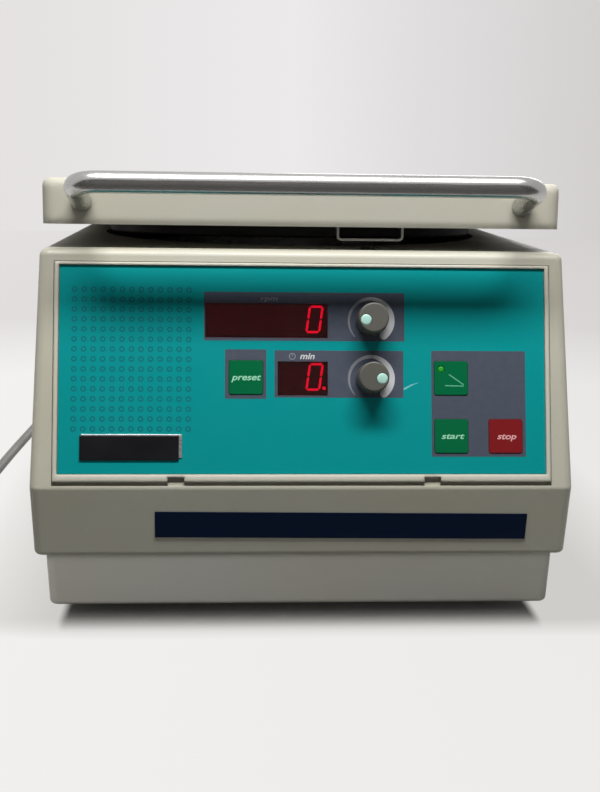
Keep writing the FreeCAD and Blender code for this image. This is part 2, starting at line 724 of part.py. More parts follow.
def make_base():
    outer = stack([tray_outline(z, 0, BASE_CORNER) for z in (FOOT_H, BASE_RIM_Z)])
    outer = outer.makeFillet(BASE_ROUND, edges_at_height(outer, FOOT_H))
    inner_levels = (BASE_FLOOR_Z, BASE_RIM_Z + PAST)
    inner = stack([tray_outline(z, BASE_WALL, BASE_CORNER - BASE_WALL) for z in inner_levels])
    tray = outer.cut(inner)
    bosses = [cylinder(TRAY_BOSS_R, FOOT_H + BASE_WALL / 2, BASE_RIM_Z, x, y) for x, y in SCREW_SPOTS]
    tray = tray.fuse(bosses)
    cuts = []
    for x, y in SCREW_SPOTS:
        cuts.append(cylinder(SCREW_R + FIT, FOOT_H - PAST, BASE_RIM_Z + PAST, x, y))
        cuts.append(cylinder(SCREW_HEAD_R + FIT, FOOT_H - PAST, SCREW_HEAD_Z, x, y))
    for x, y in FOOT_SPOTS:
        cuts.append(cylinder(FOOT_STEM_R + SEAT, FOOT_H - PAST, BASE_FLOOR_Z + PAST, x, y))
    for i in range(FLOOR_SLOTS):
        y = (i - (FLOOR_SLOTS - 1) / 2) * FLOOR_SLOT_PITCH
        cuts.append(box(-FLOOR_SLOT_L / 2, FLOOR_SLOT_L / 2, y - FLOOR_SLOT_W / 2, y + FLOOR_SLOT_W / 2,
                        FOOT_H - PAST, BASE_FLOOR_Z + PAST))
    keep("base_tray", tray.cut(cuts).removeSplitter())

    feet = []
    for x, y in FOOT_SPOTS:
        pad = Part.makeCone(FOOT_R, FOOT_TOP_R, FOOT_H, V(x, y, 0))
        feet.append(fuse(pad, cylinder(FOOT_STEM_R, FOOT_H - PAST, BASE_FLOOR_Z, x, y)))
    keep("rubber_feet", *feet)

    screws = []
    for x, y in SCREW_SPOTS:
        head = cylinder(SCREW_HEAD_R, SCREW_HEAD_Z - SCREW_HEAD_H, SCREW_HEAD_Z, x, y)
        shank = cylinder(SCREW_R, SCREW_HEAD_Z - PAST, SCREW_HEAD_Z + SCREW_SHANK, x, y)
        screws.append(fuse(head, shank))
    keep("base_screws", *screws)


# Front panel, drawn flat in (u, v, n) and then placed on the sloping face

def key_block(at, grow, n0, n1, corner=KEY_CORNER):
    u, v = at
    half = KEY_W / 2 + grow
    return slab(u - half, u + half, v - half, v + half, n0, n1, corner + max(grow, 0))


def window_block(window, grow, n0, n1):
    u0, u1, v0, v1 = window
    return box(u0 - grow, u1 + grow, v0 - grow, v1 + grow, n0, n1)


def panel_holes(n0, n1):
    """Everything that passes through the panel and its overlay."""
    holes = [window_block(window, FIT / 2, n0, n1) for window in (SPEED_WINDOW, TIMER_WINDOW)]
    holes += [key_block(at, KEY_GAP, n0, n1) for at in KEYS.values()]
    holes += [cylinder(KNOB_SHAFT_R + FIT, n0, n1, *at) for at in (SPEED_KNOB, TIMER_KNOB)]
    return holes


def make_panel():
    half = PANEL_HALF_W
    overlay_half = half - OVERLAY_SIDE
    overlay_top = PANEL_H - OVERLAY_ABOVE
    plate = box(-half, half, 0, PANEL_H, PANEL_BACK, PANEL_PROUD)
    plate = plate.makeFillet(PANEL_ROUND, edges_at_height(plate, PANEL_PROUD))
    cuts = [box(-overlay_half - FIT, overlay_half + FIT, OVERLAY_LOW - FIT, overlay_top + FIT,
                OVERLAY_BACK, PANEL_PROUD + PAST)]
    for u in NOTCH_U:
        notch = box(u - NOTCH_W / 2, u + NOTCH_W / 2, -PAST, NOTCH_UP, PANEL_BACK - PAST, PANEL_PROUD + PAST)
        cuts.append(notch)
    cuts += panel_holes(PANEL_BACK - PAST, PANEL_PROUD + PAST)
    frame = plate.cut(cuts)
    posts = []
    for u in (POST_IN - BOARD_HALF_W, BOARD_HALF_W - POST_IN):
        for v in (BOARD_LOW + POST_IN, BOARD_HIGH - POST_IN):
            posts.append(cylinder(POST_R, BOARD_FRONT, PANEL_BACK + PAST / 2, u, v))
    keep("panel_frame", on_panel(frame.fuse(posts).removeSplitter()))

    overlay = box(-overlay_half, overlay_half, OVERLAY_LOW, overlay_top, OVERLAY_BACK, OVERLAY_N)
    keep("panel_overlay", on_panel(overlay.cut(panel_holes(OVERLAY_BACK - PAST, OVERLAY_N + PAST))))


def make_displays():
    """Tinted panes, held by a lip behind the panel, and the digit modules on the board behind them."""
    panes = []
    modules = []
    for window in (SPEED_WINDOW, TIMER_WINDOW):
        pane = window_block(window, 0, PANEL_BACK - PAST / 2, OVERLAY_N)
        lip = window_block(window, WINDOW_LIP, PANEL_BACK - WINDOW_T, PANEL_BACK)
        panes.append(on_panel(fuse(pane, lip)))
        front = PANEL_BACK - WINDOW_T - MODULE_GAP
        modules.append(on_panel(window_block(window, -MODULE_IN, BOARD_FRONT, front)))
    keep("display_windows", *panes)
    keep("display_modules", *modules)


def make_key(name, at):
    u, v = at
    flange_front = PANEL_BACK - KEY_GAP
    flange_back = flange_front - KEY_FLANGE_T
    cap = key_block(at, 0, flange_back, KEY_TOP)
    rim = key_block(at, KEY_FLANGE, flange_back, flange_front)
    stem = cylinder(KEY_STEM_R, SWITCH_TOP + KEY_TRAVEL + KEY_GAP, flange_front, u, v)
    key = fuse(cap, rim, stem)
    if at == KEYS["lid_key"]:
        key = key.cut(cylinder(LAMP_R + FIT, flange_back - PAST, KEY_TOP + PAST, *LAMP_AT))
    keep(name, on_panel(key))


def make_board():
    board = box(-BOARD_HALF_W, BOARD_HALF_W, BOARD_LOW, BOARD_HIGH, BOARD_N, BOARD_FRONT)
    keep("control_board", on_panel(board))

    switches = []
    for u, v in KEYS.values():
        half = SWITCH_W / 2
        body = box(u - half, u + half, v - half, v + half, BOARD_FRONT, BOARD_FRONT + SWITCH_H)
        tip = cylinder(SWITCH_TIP_R, BOARD_FRONT + SWITCH_H - PAST, SWITCH_TOP, u, v)
        switches.append(on_panel(fuse(body, tip)))
    keep("key_switches", *switches)

    lamp_base = cylinder(LAMP_BASE_R, BOARD_FRONT, BOARD_FRONT + LAMP_BASE_H, *LAMP_AT)
    lens = cylinder(LAMP_R, BOARD_FRONT, KEY_TOP + LAMP_OUT, *LAMP_AT)
    lens = lens.makeFillet(LAMP_R / 2, edges_at_height(lens, KEY_TOP + LAMP_OUT))
    keep("status_lamp", on_panel(fuse(lamp_base, lens)))


def make_knob(name, at, dot):
    """Knob with a round pit for its pointer dot, on its shaft."""
    u, v = at
    n1 = KNOB_UNDER + KNOB_H
    body = Part.makeCone(KNOB_R, KNOB_R - KNOB_TAPER, KNOB_H, V(u, v, KNOB_UNDER))
    body = body.makeFillet(KNOB_ROUND, edges_at_height(body, n1))
    pit = cylinder(DOT_R, n1 - DOT_DEEP, n1 + PAST, u + dot[0], v + dot[1])
    socket = cylinder(KNOB_SHAFT_R + SEAT, KNOB_UNDER - PAST, KNOB_UNDER + KNOB_SOCKET, u, v)
    keep(name + "_knob", on_panel(body.cut([pit, socket])))
    keep(name + "_shaft", on_panel(cylinder(KNOB_SHAFT_R, POT_BORE + FIT, KNOB_UNDER + KNOB_SOCKET, u, v)))


def make_pots():
    pots = []
    for u, v in (SPEED_KNOB, TIMER_KNOB):
        can = cylinder(POT_R, BOARD_FRONT, BOARD_FRONT + POT_H, u, v)
        neck = cylinder(POT_NECK_R, BOARD_FRONT + POT_H - PAST, PANEL_BACK, u, v)
        bore = cylinder(KNOB_SHAFT_R + RUN, POT_BORE, PANEL_BACK + PAST, u, v)
        pots.append(on_panel(fuse(can, neck).cut(bore)))
    keep("knob_pots", *pots)


# Rotor chamber and chassis

def make_chamber():
    corner = BOWL_CORNER
    flange_r = BOWL_OUT_R + BOWL_FLANGE
    profile = [
        (BOWL_HOLE_R, BOWL_UNDER), (BOWL_OUT_R - corner, BOWL_UNDER), (BOWL_OUT_R, BOWL_UNDER + corner),
        (BOWL_OUT_R, RECESS_Z), (flange_r, RECESS_Z), (flange_r, FLANGE_TOP), (BOWL_R, FLANGE_TOP),
        (BOWL_R, BOWL_FLOOR + corner), (BOWL_R - corner, BOWL_FLOOR), (BOWL_HOLE_R, BOWL_FLOOR),
    ]
    keep("rotor_bowl", turned(profile))

    seal_r = BOWL_R + SEAL_IN
    seal_top = DISC_Z - SEAL_CLEAR
    keep("bowl_seal", ring(seal_r, seal_r + SEAL_W, FLANGE_TOP, seal_top))
    keep("armour_ring", ring(ARMOUR_R, ARMOUR_R + ARMOUR_T, CHASSIS_TOP, RECESS_UNDER - ARMOUR_HEAD))

    half = CHASSIS_HALF
    plate = slab(-half, half, -half, half, CHASSIS_Z, CHASSIS_TOP, CHASSIS_CORNER)
    keep("chassis_plate", plate.cut(cylinder(CHASSIS_HOLE_R, CHASSIS_Z - PAST, CHASSIS_TOP + PAST)))
    pillars = []
    for x in (-PILLAR_AT, PILLAR_AT):
        for y in (-PILLAR_AT, PILLAR_AT):
            pillars.append(cylinder(PILLAR_R, BASE_FLOOR_Z, CHASSIS_Z, x, y))
    keep("chassis_pillars", *pillars)


# Motor, shaft, fan and rotor

def make_motor():
    mounts = []
    for quarter in range(4):
        angle = math.radians(45 + 90 * quarter)
        x = MOUNT_PCR * math.cos(angle)
        y = MOUNT_PCR * math.sin(angle)
        mounts.append(cylinder(MOUNT_R, MOTOR_TOP + FLANGE_T, CHASSIS_Z, x, y))
    keep("rubber_mounts", *mounts)

    flange = cylinder(FLANGE_R, MOTOR_TOP, MOTOR_TOP + FLANGE_T)
    nose = cylinder(BEARING_SEAT_R, MOTOR_TOP - BEARING_W, MOTOR_TOP + PAST)
    seat = cylinder(BEARING_R + SEAT, MOTOR_TOP - BEARING_W - PAST, MOTOR_TOP)
    hole = cylinder((SHAFT_R + BEARING_R) / 2, MOTOR_TOP - PAST, MOTOR_TOP + FLANGE_T + PAST)
    keep("motor_flange", fuse(flange, nose).cut([seat, hole]))

    can = cylinder(MOTOR_R, MOTOR_Z, MOTOR_TOP)
    can = can.cut(cylinder(MOTOR_IN_R, MOTOR_FLOOR, MOTOR_TOP + PAST))
    low_seat = ring(BEARING_R + SEAT, BEARING_SEAT_R, MOTOR_Z, MOTOR_FLOOR + BEARING_W)
    low_hole = cylinder((SHAFT_R + BEARING_R) / 2, MOTOR_Z - PAST, MOTOR_FLOOR + PAST)
    keep("motor_housing", fuse(can, low_seat).cut(low_hole))

    bore = SHAFT_R + RUN
    keep("bearings", ring(bore, BEARING_R, MOTOR_FLOOR, MOTOR_FLOOR + BEARING_W),
         ring(bore, BEARING_R, MOTOR_TOP - BEARING_W, MOTOR_TOP))
    keep("stator", ring(STATOR_IN_R, MOTOR_IN_R - SEAT, STATOR_Z, STATOR_TOP))
    keep("armature", ring(SHAFT_R + SEAT, STATOR_IN_R - AIR_GAP, STATOR_Z, STATOR_TOP))
    keep("drive_shaft", cylinder(SHAFT_R, SHAFT_Z, SHAFT_TOP))

    blades = []
    for i in range(FAN_BLADES):
        blade = box(FAN_HUB_R - PAST, FAN_R, -FAN_BLADE_T / 2, FAN_BLADE_T / 2, SHAFT_Z, FAN_TOP)
        blade.rotate(V(0, 0, 0), Z_AXIS, 360.0 * i / FAN_BLADES)
        blades.append(blade)
    hub = ring(SHAFT_R + SEAT, FAN_HUB_R, SHAFT_Z, FAN_TOP)
    keep("cooling_fan", fuse(hub, *blades))


def make_rotor():
    bore = SHAFT_R + SEAT
    cone_r = ROTOR_R - ROTOR_CONE
    rim_in_r = cone_r - ROTOR_RIM
    profile = [
        (bore, ROTOR_Z), (ROTOR_HUB_R, ROTOR_Z), (ROTOR_HUB_R, ROTOR_Z + ROTOR_HUB_H),
        (cone_r, ROTOR_Z + ROTOR_HUB_H), (ROTOR_R, ROTOR_Z + ROTOR_HUB_H + ROTOR_CONE),
        (ROTOR_R, ROTOR_TOP - ROTOR_CONE), (cone_r, ROTOR_TOP), (rim_in_r, ROTOR_TOP),
        (rim_in_r - ROTOR_DISH, ROTOR_DISH_Z), (ROTOR_NOSE_R, ROTOR_DISH_Z), (ROTOR_NOSE_R, NOSE_TOP_Z),
        (bore, NOSE_TOP_Z),
    ]
    body = turned(profile)
    mid_r = rim_in_r - ROTOR_DISH / 2
    mid_z = ROTOR_TOP - ROTOR_DISH / 2
    down = V(1, 0, -1).normalize()
    holes = []
    for i in range(TUBE_HOLES):
        mouth = V(mid_r, 0, mid_z) - down * 2 * TUBE_HOLE_R
        hole = Part.makeCylinder(TUBE_HOLE_R, TUBE_DEPTH + 2 * TUBE_HOLE_R, mouth, down)
        hole.rotate(V(0, 0, 0), Z_AXIS, 360.0 * i / TUBE_HOLES)
        holes.append(hole)
    keep("rotor", body.cut(holes))

    nut = cylinder(NUT_R, NOSE_TOP_Z, NOSE_TOP_Z + NUT_H)
    keep("rotor_nut", nut.cut(cylinder(bore, NOSE_TOP_Z - PAST, SHAFT_TOP + PAST)))

    lip_r = rim_in_r + COVER_LIP
    stem_top = ROTOR_TOP + COVER_T
    cover = [
        (0, SHAFT_TOP), (COVER_KNOB_R, SHAFT_TOP), (COVER_KNOB_R, ROTOR_TOP), (lip_r, ROTOR_TOP),
        (lip_r, stem_top), (0, stem_top),
    ]
    keep("rotor_cover", turned(cover))


# Lid, all drawn shut

def ear_boxes(grow):
    boxes = []
    for side in (-1, 1):
        x = side * HINGE_X
        boxes.append(box(x - EAR_HALF - grow, x + EAR_HALF + grow, POCKET_Y - EAR_T - grow, LID_REAR + grow,
                         LID_Z, LID_TOP - LID_WALL / 2))
    return boxes


def make_lid():
    outer = slab(-LID_HALF_W, LID_HALF_W, LID_FRONT, LID_REAR, LID_Z, LID_TOP, LID_CORNER)
    outer = outer.makeFillet(LID_ROUND, edges_at_height(outer, LID_TOP))
    wall = LID_WALL
    cavity = slab(wall - LID_HALF_W, LID_HALF_W - wall, LID_FRONT + wall, LID_REAR - wall, LID_Z - PAST,
                  LID_TOP - wall, LID_CORNER - wall)
    plate_top = LID_Z + INNER_PLATE_T
    bosses = []
    for x in (-LID_BOSS_X, LID_BOSS_X):
        for y in LID_BOSS_Y:
            bosses.append(cylinder(LID_BOSS_R, plate_top, LID_TOP - wall / 2, x, y))
    shell = outer.cut(cavity).fuse(bosses + [outer.common(ear) for ear in ear_boxes(0)])
    cuts = []
    for side in (-1, 1):
        x = side * HINGE_X
        cuts.append(box(x - POCKET_HALF, x + POCKET_HALF, POCKET_Y, LID_REAR + PAST,
                        LID_Z - PAST, LID_TOP - wall))
        cuts.append(cylinder_x(HINGE_PIN_R + RUN, x - EAR_HALF - PAST, x + EAR_HALF + PAST, HINGE_Y, HINGE_Z))
        cuts.append(cylinder_y(HANDLE_SCREW_R + FIT, LID_FRONT - PAST, LID_FRONT + wall + PAST,
                               side * HANDLE_AT, HANDLE_Z))
    keep("lid_shell", ajar(shell.cut(cuts).removeSplitter()))

    inset = wall + FIT
    plate = slab(inset - LID_HALF_W, LID_HALF_W - inset, LID_FRONT + inset, LID_REAR - inset,
                 LID_Z, plate_top, LID_CORNER - wall)
    keep("lid_inner_plate", ajar(plate.cut(ear_boxes(FIT))))

    land = DISC_R - DISC_LAND
    disc = turned([
        (0, DISC_Z + DISC_DISH), (land, DISC_Z + DISC_DISH), (land + DISC_DISH, DISC_Z),
        (DISC_R - DISC_EDGE, DISC_Z), (DISC_R, DISC_Z + DISC_EDGE), (DISC_R, LID_Z), (0, LID_Z),
    ])
    keep("lid_seal_disc", ajar(disc))

    x0 = STRIKER_X - STRIKER_W / 2
    x1 = STRIKER_X + STRIKER_W / 2
    y0 = STRIKER_Y - STRIKER_D / 2
    y1 = STRIKER_Y + STRIKER_D / 2
    strap = box(x0, x1, y0, y1, STRIKER_Z, LID_Z)
    strap = strap.makeFillet(STRIKER_BEND, long_edges(strap, STRIKER_Z))
    inside = box(x0 + STRIKER_T, x1 - STRIKER_T, y0 - PAST, y1 + PAST, STRIKER_Z + STRIKER_T, LID_Z + PAST)
    inside = inside.makeFillet(STRIKER_BEND - STRIKER_T, long_edges(inside, STRIKER_Z + STRIKER_T))
    keep("lid_striker", ajar(strap.cut(inside)))


def long_edges(shape, z):
    """Edges along Y at height z."""
    return [edge for edge in edges_at_height(shape, z) if edge.BoundBox.YLength > edge.BoundBox.XLength]


def make_handle():
    rise = V(0, -HANDLE_OUT, HANDLE_RISE)
    root = V(-HANDLE_AT, LID_FRONT, HANDLE_Z)
    into_lid = rise * (-HANDLE_R / HANDLE_OUT)
    across = V(2 * HANDLE_AT, 0, 0)
    corners = [root + into_lid, root + rise, root + rise + across, root + across + into_lid]
    path = bent_path(corners, [HANDLE_BEND, HANDLE_BEND])
    bar = tube(path, HANDLE_R)
    lid_side = box(-LID_HALF_W, LID_HALF_W, LID_FRONT, LID_FRONT + 4 * HANDLE_R,
                   LID_Z - LID_H, LID_TOP + LID_H)
    cuts = [lid_side]
    screws = []
    head_y = LID_FRONT + LID_WALL
    for x in (-HANDLE_AT, HANDLE_AT):
        bite_end = LID_FRONT - HANDLE_SCREW_BITE - FIT
        cuts.append(cylinder_y(HANDLE_SCREW_R + RUN, bite_end, LID_FRONT + PAST, x, HANDLE_Z))
        shank = cylinder_y(HANDLE_SCREW_R, LID_FRONT - HANDLE_SCREW_BITE, head_y + PAST, x, HANDLE_Z)
        head = cylinder_y(HANDLE_SCREW_HEAD_R, head_y, head_y + HANDLE_SCREW_HEAD_H, x, HANDLE_Z)
        screws.append(ajar(fuse(head, shank)))
    keep("lid_handle", ajar(bar.cut(cuts)))
    keep("handle_screws", *screws)


def make_hinge():
    blocks = []
    pins = []
    for side in (-1, 1):
        x = side * HINGE_X
        x0 = x - BLOCK_W / 2
        x1 = x + BLOCK_W / 2
        block = fuse(box(x0, x1, HINGE_Y - BLOCK_R, HINGE_Y + BLOCK_R, TOP_Z, HINGE_Z),
                     cylinder_x(BLOCK_R, x0, x1, HINGE_Y, HINGE_Z))
        blocks.append(block.cut(cylinder_x(HINGE_PIN_R + SEAT, x0 - PAST, x1 + PAST, HINGE_Y, HINGE_Z)))
        pins.append(cylinder_x(HINGE_PIN_R, x - EAR_HALF, x + EAR_HALF, HINGE_Y, HINGE_Z))
    keep("hinge_blocks", *blocks)
    outer = BRACKET_IN + BRACKET_T + PAST
    pins.append(cylinder_x(LATCH_PIN_R, STRIKER_X - outer, STRIKER_X + outer, PIVOT_Y, PIVOT_Z))
    keep("pivot_pins", *pins)


# Latch under the casing's top

def make_latch():
    x0 = STRIKER_X - HOOK_T / 2
    x1 = STRIKER_X + HOOK_T / 2
    arm_front = STRIKER_Y + STRIKER_D / 2 + HOOK_ROOM
    arm_rear = arm_front + HOOK_ARM
    nose_z = STRIKER_Z + STRIKER_T + NOSE_CLEAR
    nose_top = LID_Z - HOOK_ROOM
    profile = [
        (arm_front, PIVOT_Z), (arm_front, nose_z), (STRIKER_Y, nose_z), (STRIKER_Y, nose_z + HOOK_T / 2),
        (arm_front, nose_top), (arm_rear, nose_top), (arm_rear, PIVOT_Z),
    ]
    arm = side_prism(profile, x0, x1)
    arm.rotate(PIVOT, X_AXIS, -HOOK_SWING)
    hub_half = BRACKET_IN - BRACKET_SIDE_CLEAR
    hub = cylinder_x(HOOK_HUB_R, STRIKER_X - hub_half, STRIKER_X + hub_half, PIVOT_Y, PIVOT_Z)
    tail = box(x0, x1, PIVOT_Y, PLUNGER_Y + TAIL_END, PIVOT_Z - TAIL_H / 2, PIVOT_Z + TAIL_H / 2)
    slot_half = FORK_PIN_R + FORK_CLEAR
    slot_long = slot_half + FORK_SLIDE
    slot = box(x0 - PAST, x1 + PAST, PLUNGER_Y - slot_long, PLUNGER_Y + slot_long,
               PIVOT_Z - slot_half, PIVOT_Z + slot_half)
    pin_hole = cylinder_x(LATCH_PIN_R + RUN, STRIKER_X - BRACKET_IN, STRIKER_X + BRACKET_IN, PIVOT_Y, PIVOT_Z)
    keep("latch_hook", fuse(arm, hub, tail).cut([slot, pin_hole]))

    plates = []
    outer = BRACKET_IN + BRACKET_T
    for side in (-1, 1):
        near = STRIKER_X + side * BRACKET_IN
        far = STRIKER_X + side * outer
        foot = far + side * BRACKET_FOOT
        plates.append(box(min(near, far), max(near, far), BRACKET_FRONT, BRACKET_REAR, SHELF_Z, TOP_UNDER))
        plates.append(box(min(near, foot), max(near, foot), BRACKET_FRONT, BRACKET_REAR,
                          TOP_UNDER - BRACKET_T, TOP_UNDER))
    shelf = box(STRIKER_X - outer, STRIKER_X + outer, BRACKET_FRONT, PLUNGER_Y + SOLENOID_D / 2,
                SHELF_Z, SHELF_TOP)
    bracket = fuse(shelf, *plates)
    holes = [
        cylinder_x(LATCH_PIN_R + SEAT, STRIKER_X - outer - PAST, STRIKER_X + outer + PAST, PIVOT_Y, PIVOT_Z),
        cylinder(PLUNGER_R + FIT, SHELF_Z - PAST, SHELF_TOP + PAST, STRIKER_X, PLUNGER_Y),
    ]
    keep("latch_bracket", bracket.cut(holes))

    half_w = SOLENOID_W / 2
    half_d = SOLENOID_D / 2
    coil = box(STRIKER_X - half_w, STRIKER_X + half_w, PLUNGER_Y - half_d, PLUNGER_Y + half_d,
               SHELF_Z - SOLENOID_H, SHELF_Z)
    rod_z = SHELF_TOP - PLUNGER_LEN
    bore = cylinder(PLUNGER_R + PLUNGER_ROOM, rod_z - PAST, SHELF_Z + PAST, STRIKER_X, PLUNGER_Y)
    keep("latch_solenoid", coil.cut(bore))

    fork_in = HOOK_T / 2 + FORK_CLEAR
    fork_out = fork_in + FORK_T
    y0 = PLUNGER_Y - FORK_D / 2
    y1 = PLUNGER_Y + FORK_D / 2
    yoke_z = SHELF_TOP + FORK_UP
    yoke = box(STRIKER_X - fork_out, STRIKER_X + fork_out, y0, y1, yoke_z, PIVOT_Z + TAIL_H / 2)
    gap = box(STRIKER_X - fork_in, STRIKER_X + fork_in, y0 - PAST, y1 + PAST,
              yoke_z + FORK_T, PIVOT_Z + TAIL_H)
    rod = cylinder(PLUNGER_R, rod_z, yoke_z + PAST, STRIKER_X, PLUNGER_Y)
    cross = cylinder_x(FORK_PIN_R, STRIKER_X - fork_out, STRIKER_X + fork_out, PLUNGER_Y, PIVOT_Z)
    keep("solenoid_plunger", fuse(yoke.cut(gap), rod, cross))

    switch_x = STRIKER_X + STRIKER_W / 2 + SLOT_ROOM + FIT
    keep("lid_switch", box(switch_x, switch_x + LID_SWITCH_W, STRIKER_Y - LID_SWITCH_D / 2,
                           STRIKER_Y + LID_SWITCH_D / 2, TOP_UNDER - LID_SWITCH_H, TOP_UNDER))


# Rear fittings and power supply

def make_inlet():
    x0 = INLET_X - INLET_W / 2
    x1 = INLET_X + INLET_W / 2
    z0 = REAR_Z - INLET_H / 2
    z1 = REAR_Z + INLET_H / 2
    out = REAR_REACH + INLET_FLANGE_T
    body = box(x0, x1, REAR_REACH - INLET_DEEP, REAR_REACH + PAST, z0, z1)
    flange = box(x0 - INLET_FLANGE, x1 + INLET_FLANGE, REAR_REACH, out, z0 - INLET_FLANGE, z1 + INLET_FLANGE)
    wall = INLET_WALL
    socket = box(x0 + wall, x1 - wall, REAR_REACH - INLET_DEEP + wall, out + PAST, z0 + wall, z1 - wall)
    keep("mains_inlet", fuse(body, flange).cut(socket))

    nose_w = INLET_W / 2 - wall - FIT
    nose_h = INLET_H / 2 - wall - FIT
    nose_y = REAR_REACH - INLET_DEEP + wall + CONNECTOR_NOSE_GAP
    nose = box(INLET_X - nose_w, INLET_X + nose_w, nose_y, out + PAST, REAR_Z - nose_h, REAR_Z + nose_h)
    body = box(INLET_X - CONNECTOR_W / 2 - wall, INLET_X + CONNECTOR_W / 2 + wall, out, CONNECTOR_REAR,
               REAR_Z - CONNECTOR_H / 2 - wall, REAR_Z + CONNECTOR_H / 2 + wall)
    body = body.makeFillet(wall, [edge for edge in body.Edges if edge.BoundBox.YMin > out + FIT])
    relief_root = V(INLET_X, CONNECTOR_REAR - PAST, REAR_Z)
    relief = Part.makeCone(RELIEF_R, RELIEF_TIP_R, RELIEF_L + PAST, relief_root, Y_AXIS)
    keep("mains_connector", fuse(body, nose, relief))


def make_mains_switch():
    out = REAR_REACH + SWITCH_FLANGE_T
    z0 = REAR_Z - SWITCH_HALF_H
    z1 = REAR_Z + SWITCH_HALF_H
    x0 = SWITCH_X - SWITCH_HALF_W
    x1 = SWITCH_X + SWITCH_HALF_W
    body = box(x0, x1, REAR_REACH - SWITCH_DEEP, REAR_REACH + PAST, z0, z1)
    edge = SWITCH_FLANGE
    flange = box(x0 - edge, x1 + edge, REAR_REACH, out, z0 - edge, z1 + edge)
    wall = SWITCH_WALL
    well = box(x0 + wall, x1 - wall, REAR_REACH - SWITCH_DEEP + wall, out + PAST, z0 + wall, z1 - wall)
    pivot_y = REAR_REACH - ROCKER_PIVOT
    pin = cylinder_x(ROCKER_PIN_R, x0 + wall / 2, x1 - wall / 2, pivot_y, REAR_Z)
    keep("switch_frame", fuse(fuse(body, flange).cut(well), pin))

    face_y = out + ROCKER_OUT
    low_z = REAR_Z - ROCKER_H / 2
    high_z = REAR_Z + ROCKER_H / 2
    back_y = face_y - ROCKER_D
    dip = ROCKER_OUT / 2
    profile = [(back_y, REAR_Z - ROCKER_H / 4), (pivot_y, low_z), (face_y, low_z), (face_y - dip, REAR_Z),
               (face_y, high_z), (pivot_y, high_z), (back_y, REAR_Z + ROCKER_H / 4)]
    rocker = side_prism(profile, SWITCH_X - ROCKER_W / 2, SWITCH_X + ROCKER_W / 2)
    rocker = rocker.cut(cylinder_x(ROCKER_PIN_R + RUN, x0, x1, pivot_y, REAR_Z))
    rocker.rotate(V(SWITCH_X, pivot_y, REAR_Z), X_AXIS, -ROCKER_TIP)
    keep("mains_rocker", rocker)

    holder = cylinder_y(FUSE_R, REAR_REACH - FUSE_DEEP, REAR_REACH + PAST, FUSE_X, REAR_Z)
    cap = cylinder_y(FUSE_CAP_R, REAR_REACH, REAR_REACH + FUSE_CAP, FUSE_X, REAR_Z)
    keep("fuse_holder", fuse(holder, cap))


def make_supply():
    side = BASE_HALF_W - BASE_WALL - BASE_DRAFT - CORE_IN
    core = box(side - CORE_W, side, -CORE_L / 2, CORE_L / 2, BASE_FLOOR_Z, BASE_FLOOR_Z + CORE_H)
    out = COIL_FORMER_OUT
    former = box(side - CORE_W - out, side + CORE_IN / 2, -CORE_L / 4, CORE_L / 4, BASE_FLOOR_Z + out,
                 BASE_FLOOR_Z + CORE_H - out)
    keep("transformer", fuse(core, former))

    x0 = -side
    x1 = x0 + SUPPLY_W
    z = BASE_FLOOR_Z + SUPPLY_UP
    y0 = -SUPPLY_L / 2
    y1 = SUPPLY_L / 2
    board = box(x0, x1, y0, y1, z, z + SUPPLY_T)
    pieces = []
    for x in (x0 + SUPPLY_POST_R, x1 - SUPPLY_POST_R):
        for y in (y0 + SUPPLY_POST_R, y1 - SUPPLY_POST_R):
            pieces.append(cylinder(SUPPLY_POST_R, BASE_FLOOR_Z, z + SUPPLY_T / 2, x, y))
    top = z + SUPPLY_T
    for i in range(2):
        y = y0 + 2 * CAPACITOR_R + i * CAPACITOR_PITCH
        pieces.append(cylinder(CAPACITOR_R, top - SUPPLY_T / 2, top + CAPACITOR_H, (x0 + x1) / 2, y))
    pieces.append(box(x0 + SINK_T, x0 + 2 * SINK_T, y1 - SINK_T - SINK_L, y1 - SINK_T,
                      top - SUPPLY_T / 2, top + SINK_H))
    keep("power_board", fuse(board, *pieces))


# Mains lead

def turn_angle(before, at, after):
    return (at - before).getAngle(after - at)


def bent_path(points, radii):
    """Straight runs between points, with a tangent arc of the given radius at each inner point."""
    edges = []
    start = points[0]
    for before, at, after, radius in zip(points, points[1:], points[2:], radii):
        half_turn = turn_angle(before, at, after) / 2
        back = (before - at).normalize()
        ahead = (after - at).normalize()
        reach = radius * math.tan(half_turn)
        bisector = (back + ahead).normalize()
        mid = at + bisector * (radius / math.cos(half_turn) - radius)
        edges.append(Part.LineSegment(start, at + back * reach).toShape())
        edges.append(Part.Arc(at + back * reach, mid, at + ahead * reach).toShape())
        start = at + ahead * reach
    edges.append(Part.LineSegment(start, points[-1]).toShape())
    return Part.Wire(edges)


def tube(path, radius):
    """Round bar along a path, checked by its volume."""
    first = path.OrderedEdges[0]
    begin = first.FirstParameter
    ring_edge = Part.makeCircle(radius, first.valueAt(begin), first.tangentAt(begin))
    solid = path.makePipeShell([Part.Wire([ring_edge])], True, False)
    print("  tube length %.1f, volume over section times length %.4f"
          % (path.Length, solid.Volume / (math.pi * radius ** 2 * path.Length)))
    return solid


def arc_mid(start, heading, end):
    """Middle of the arc that leaves start along heading and ends at end."""
    chord = end - start
    along = V(chord).normalize()
    aside = heading - along * heading.dot(along)
    half = heading.getAngle(chord) / 2
    return (start + end) * 0.5 + aside.normalize() * (chord.Length / 2 * math.tan(half))


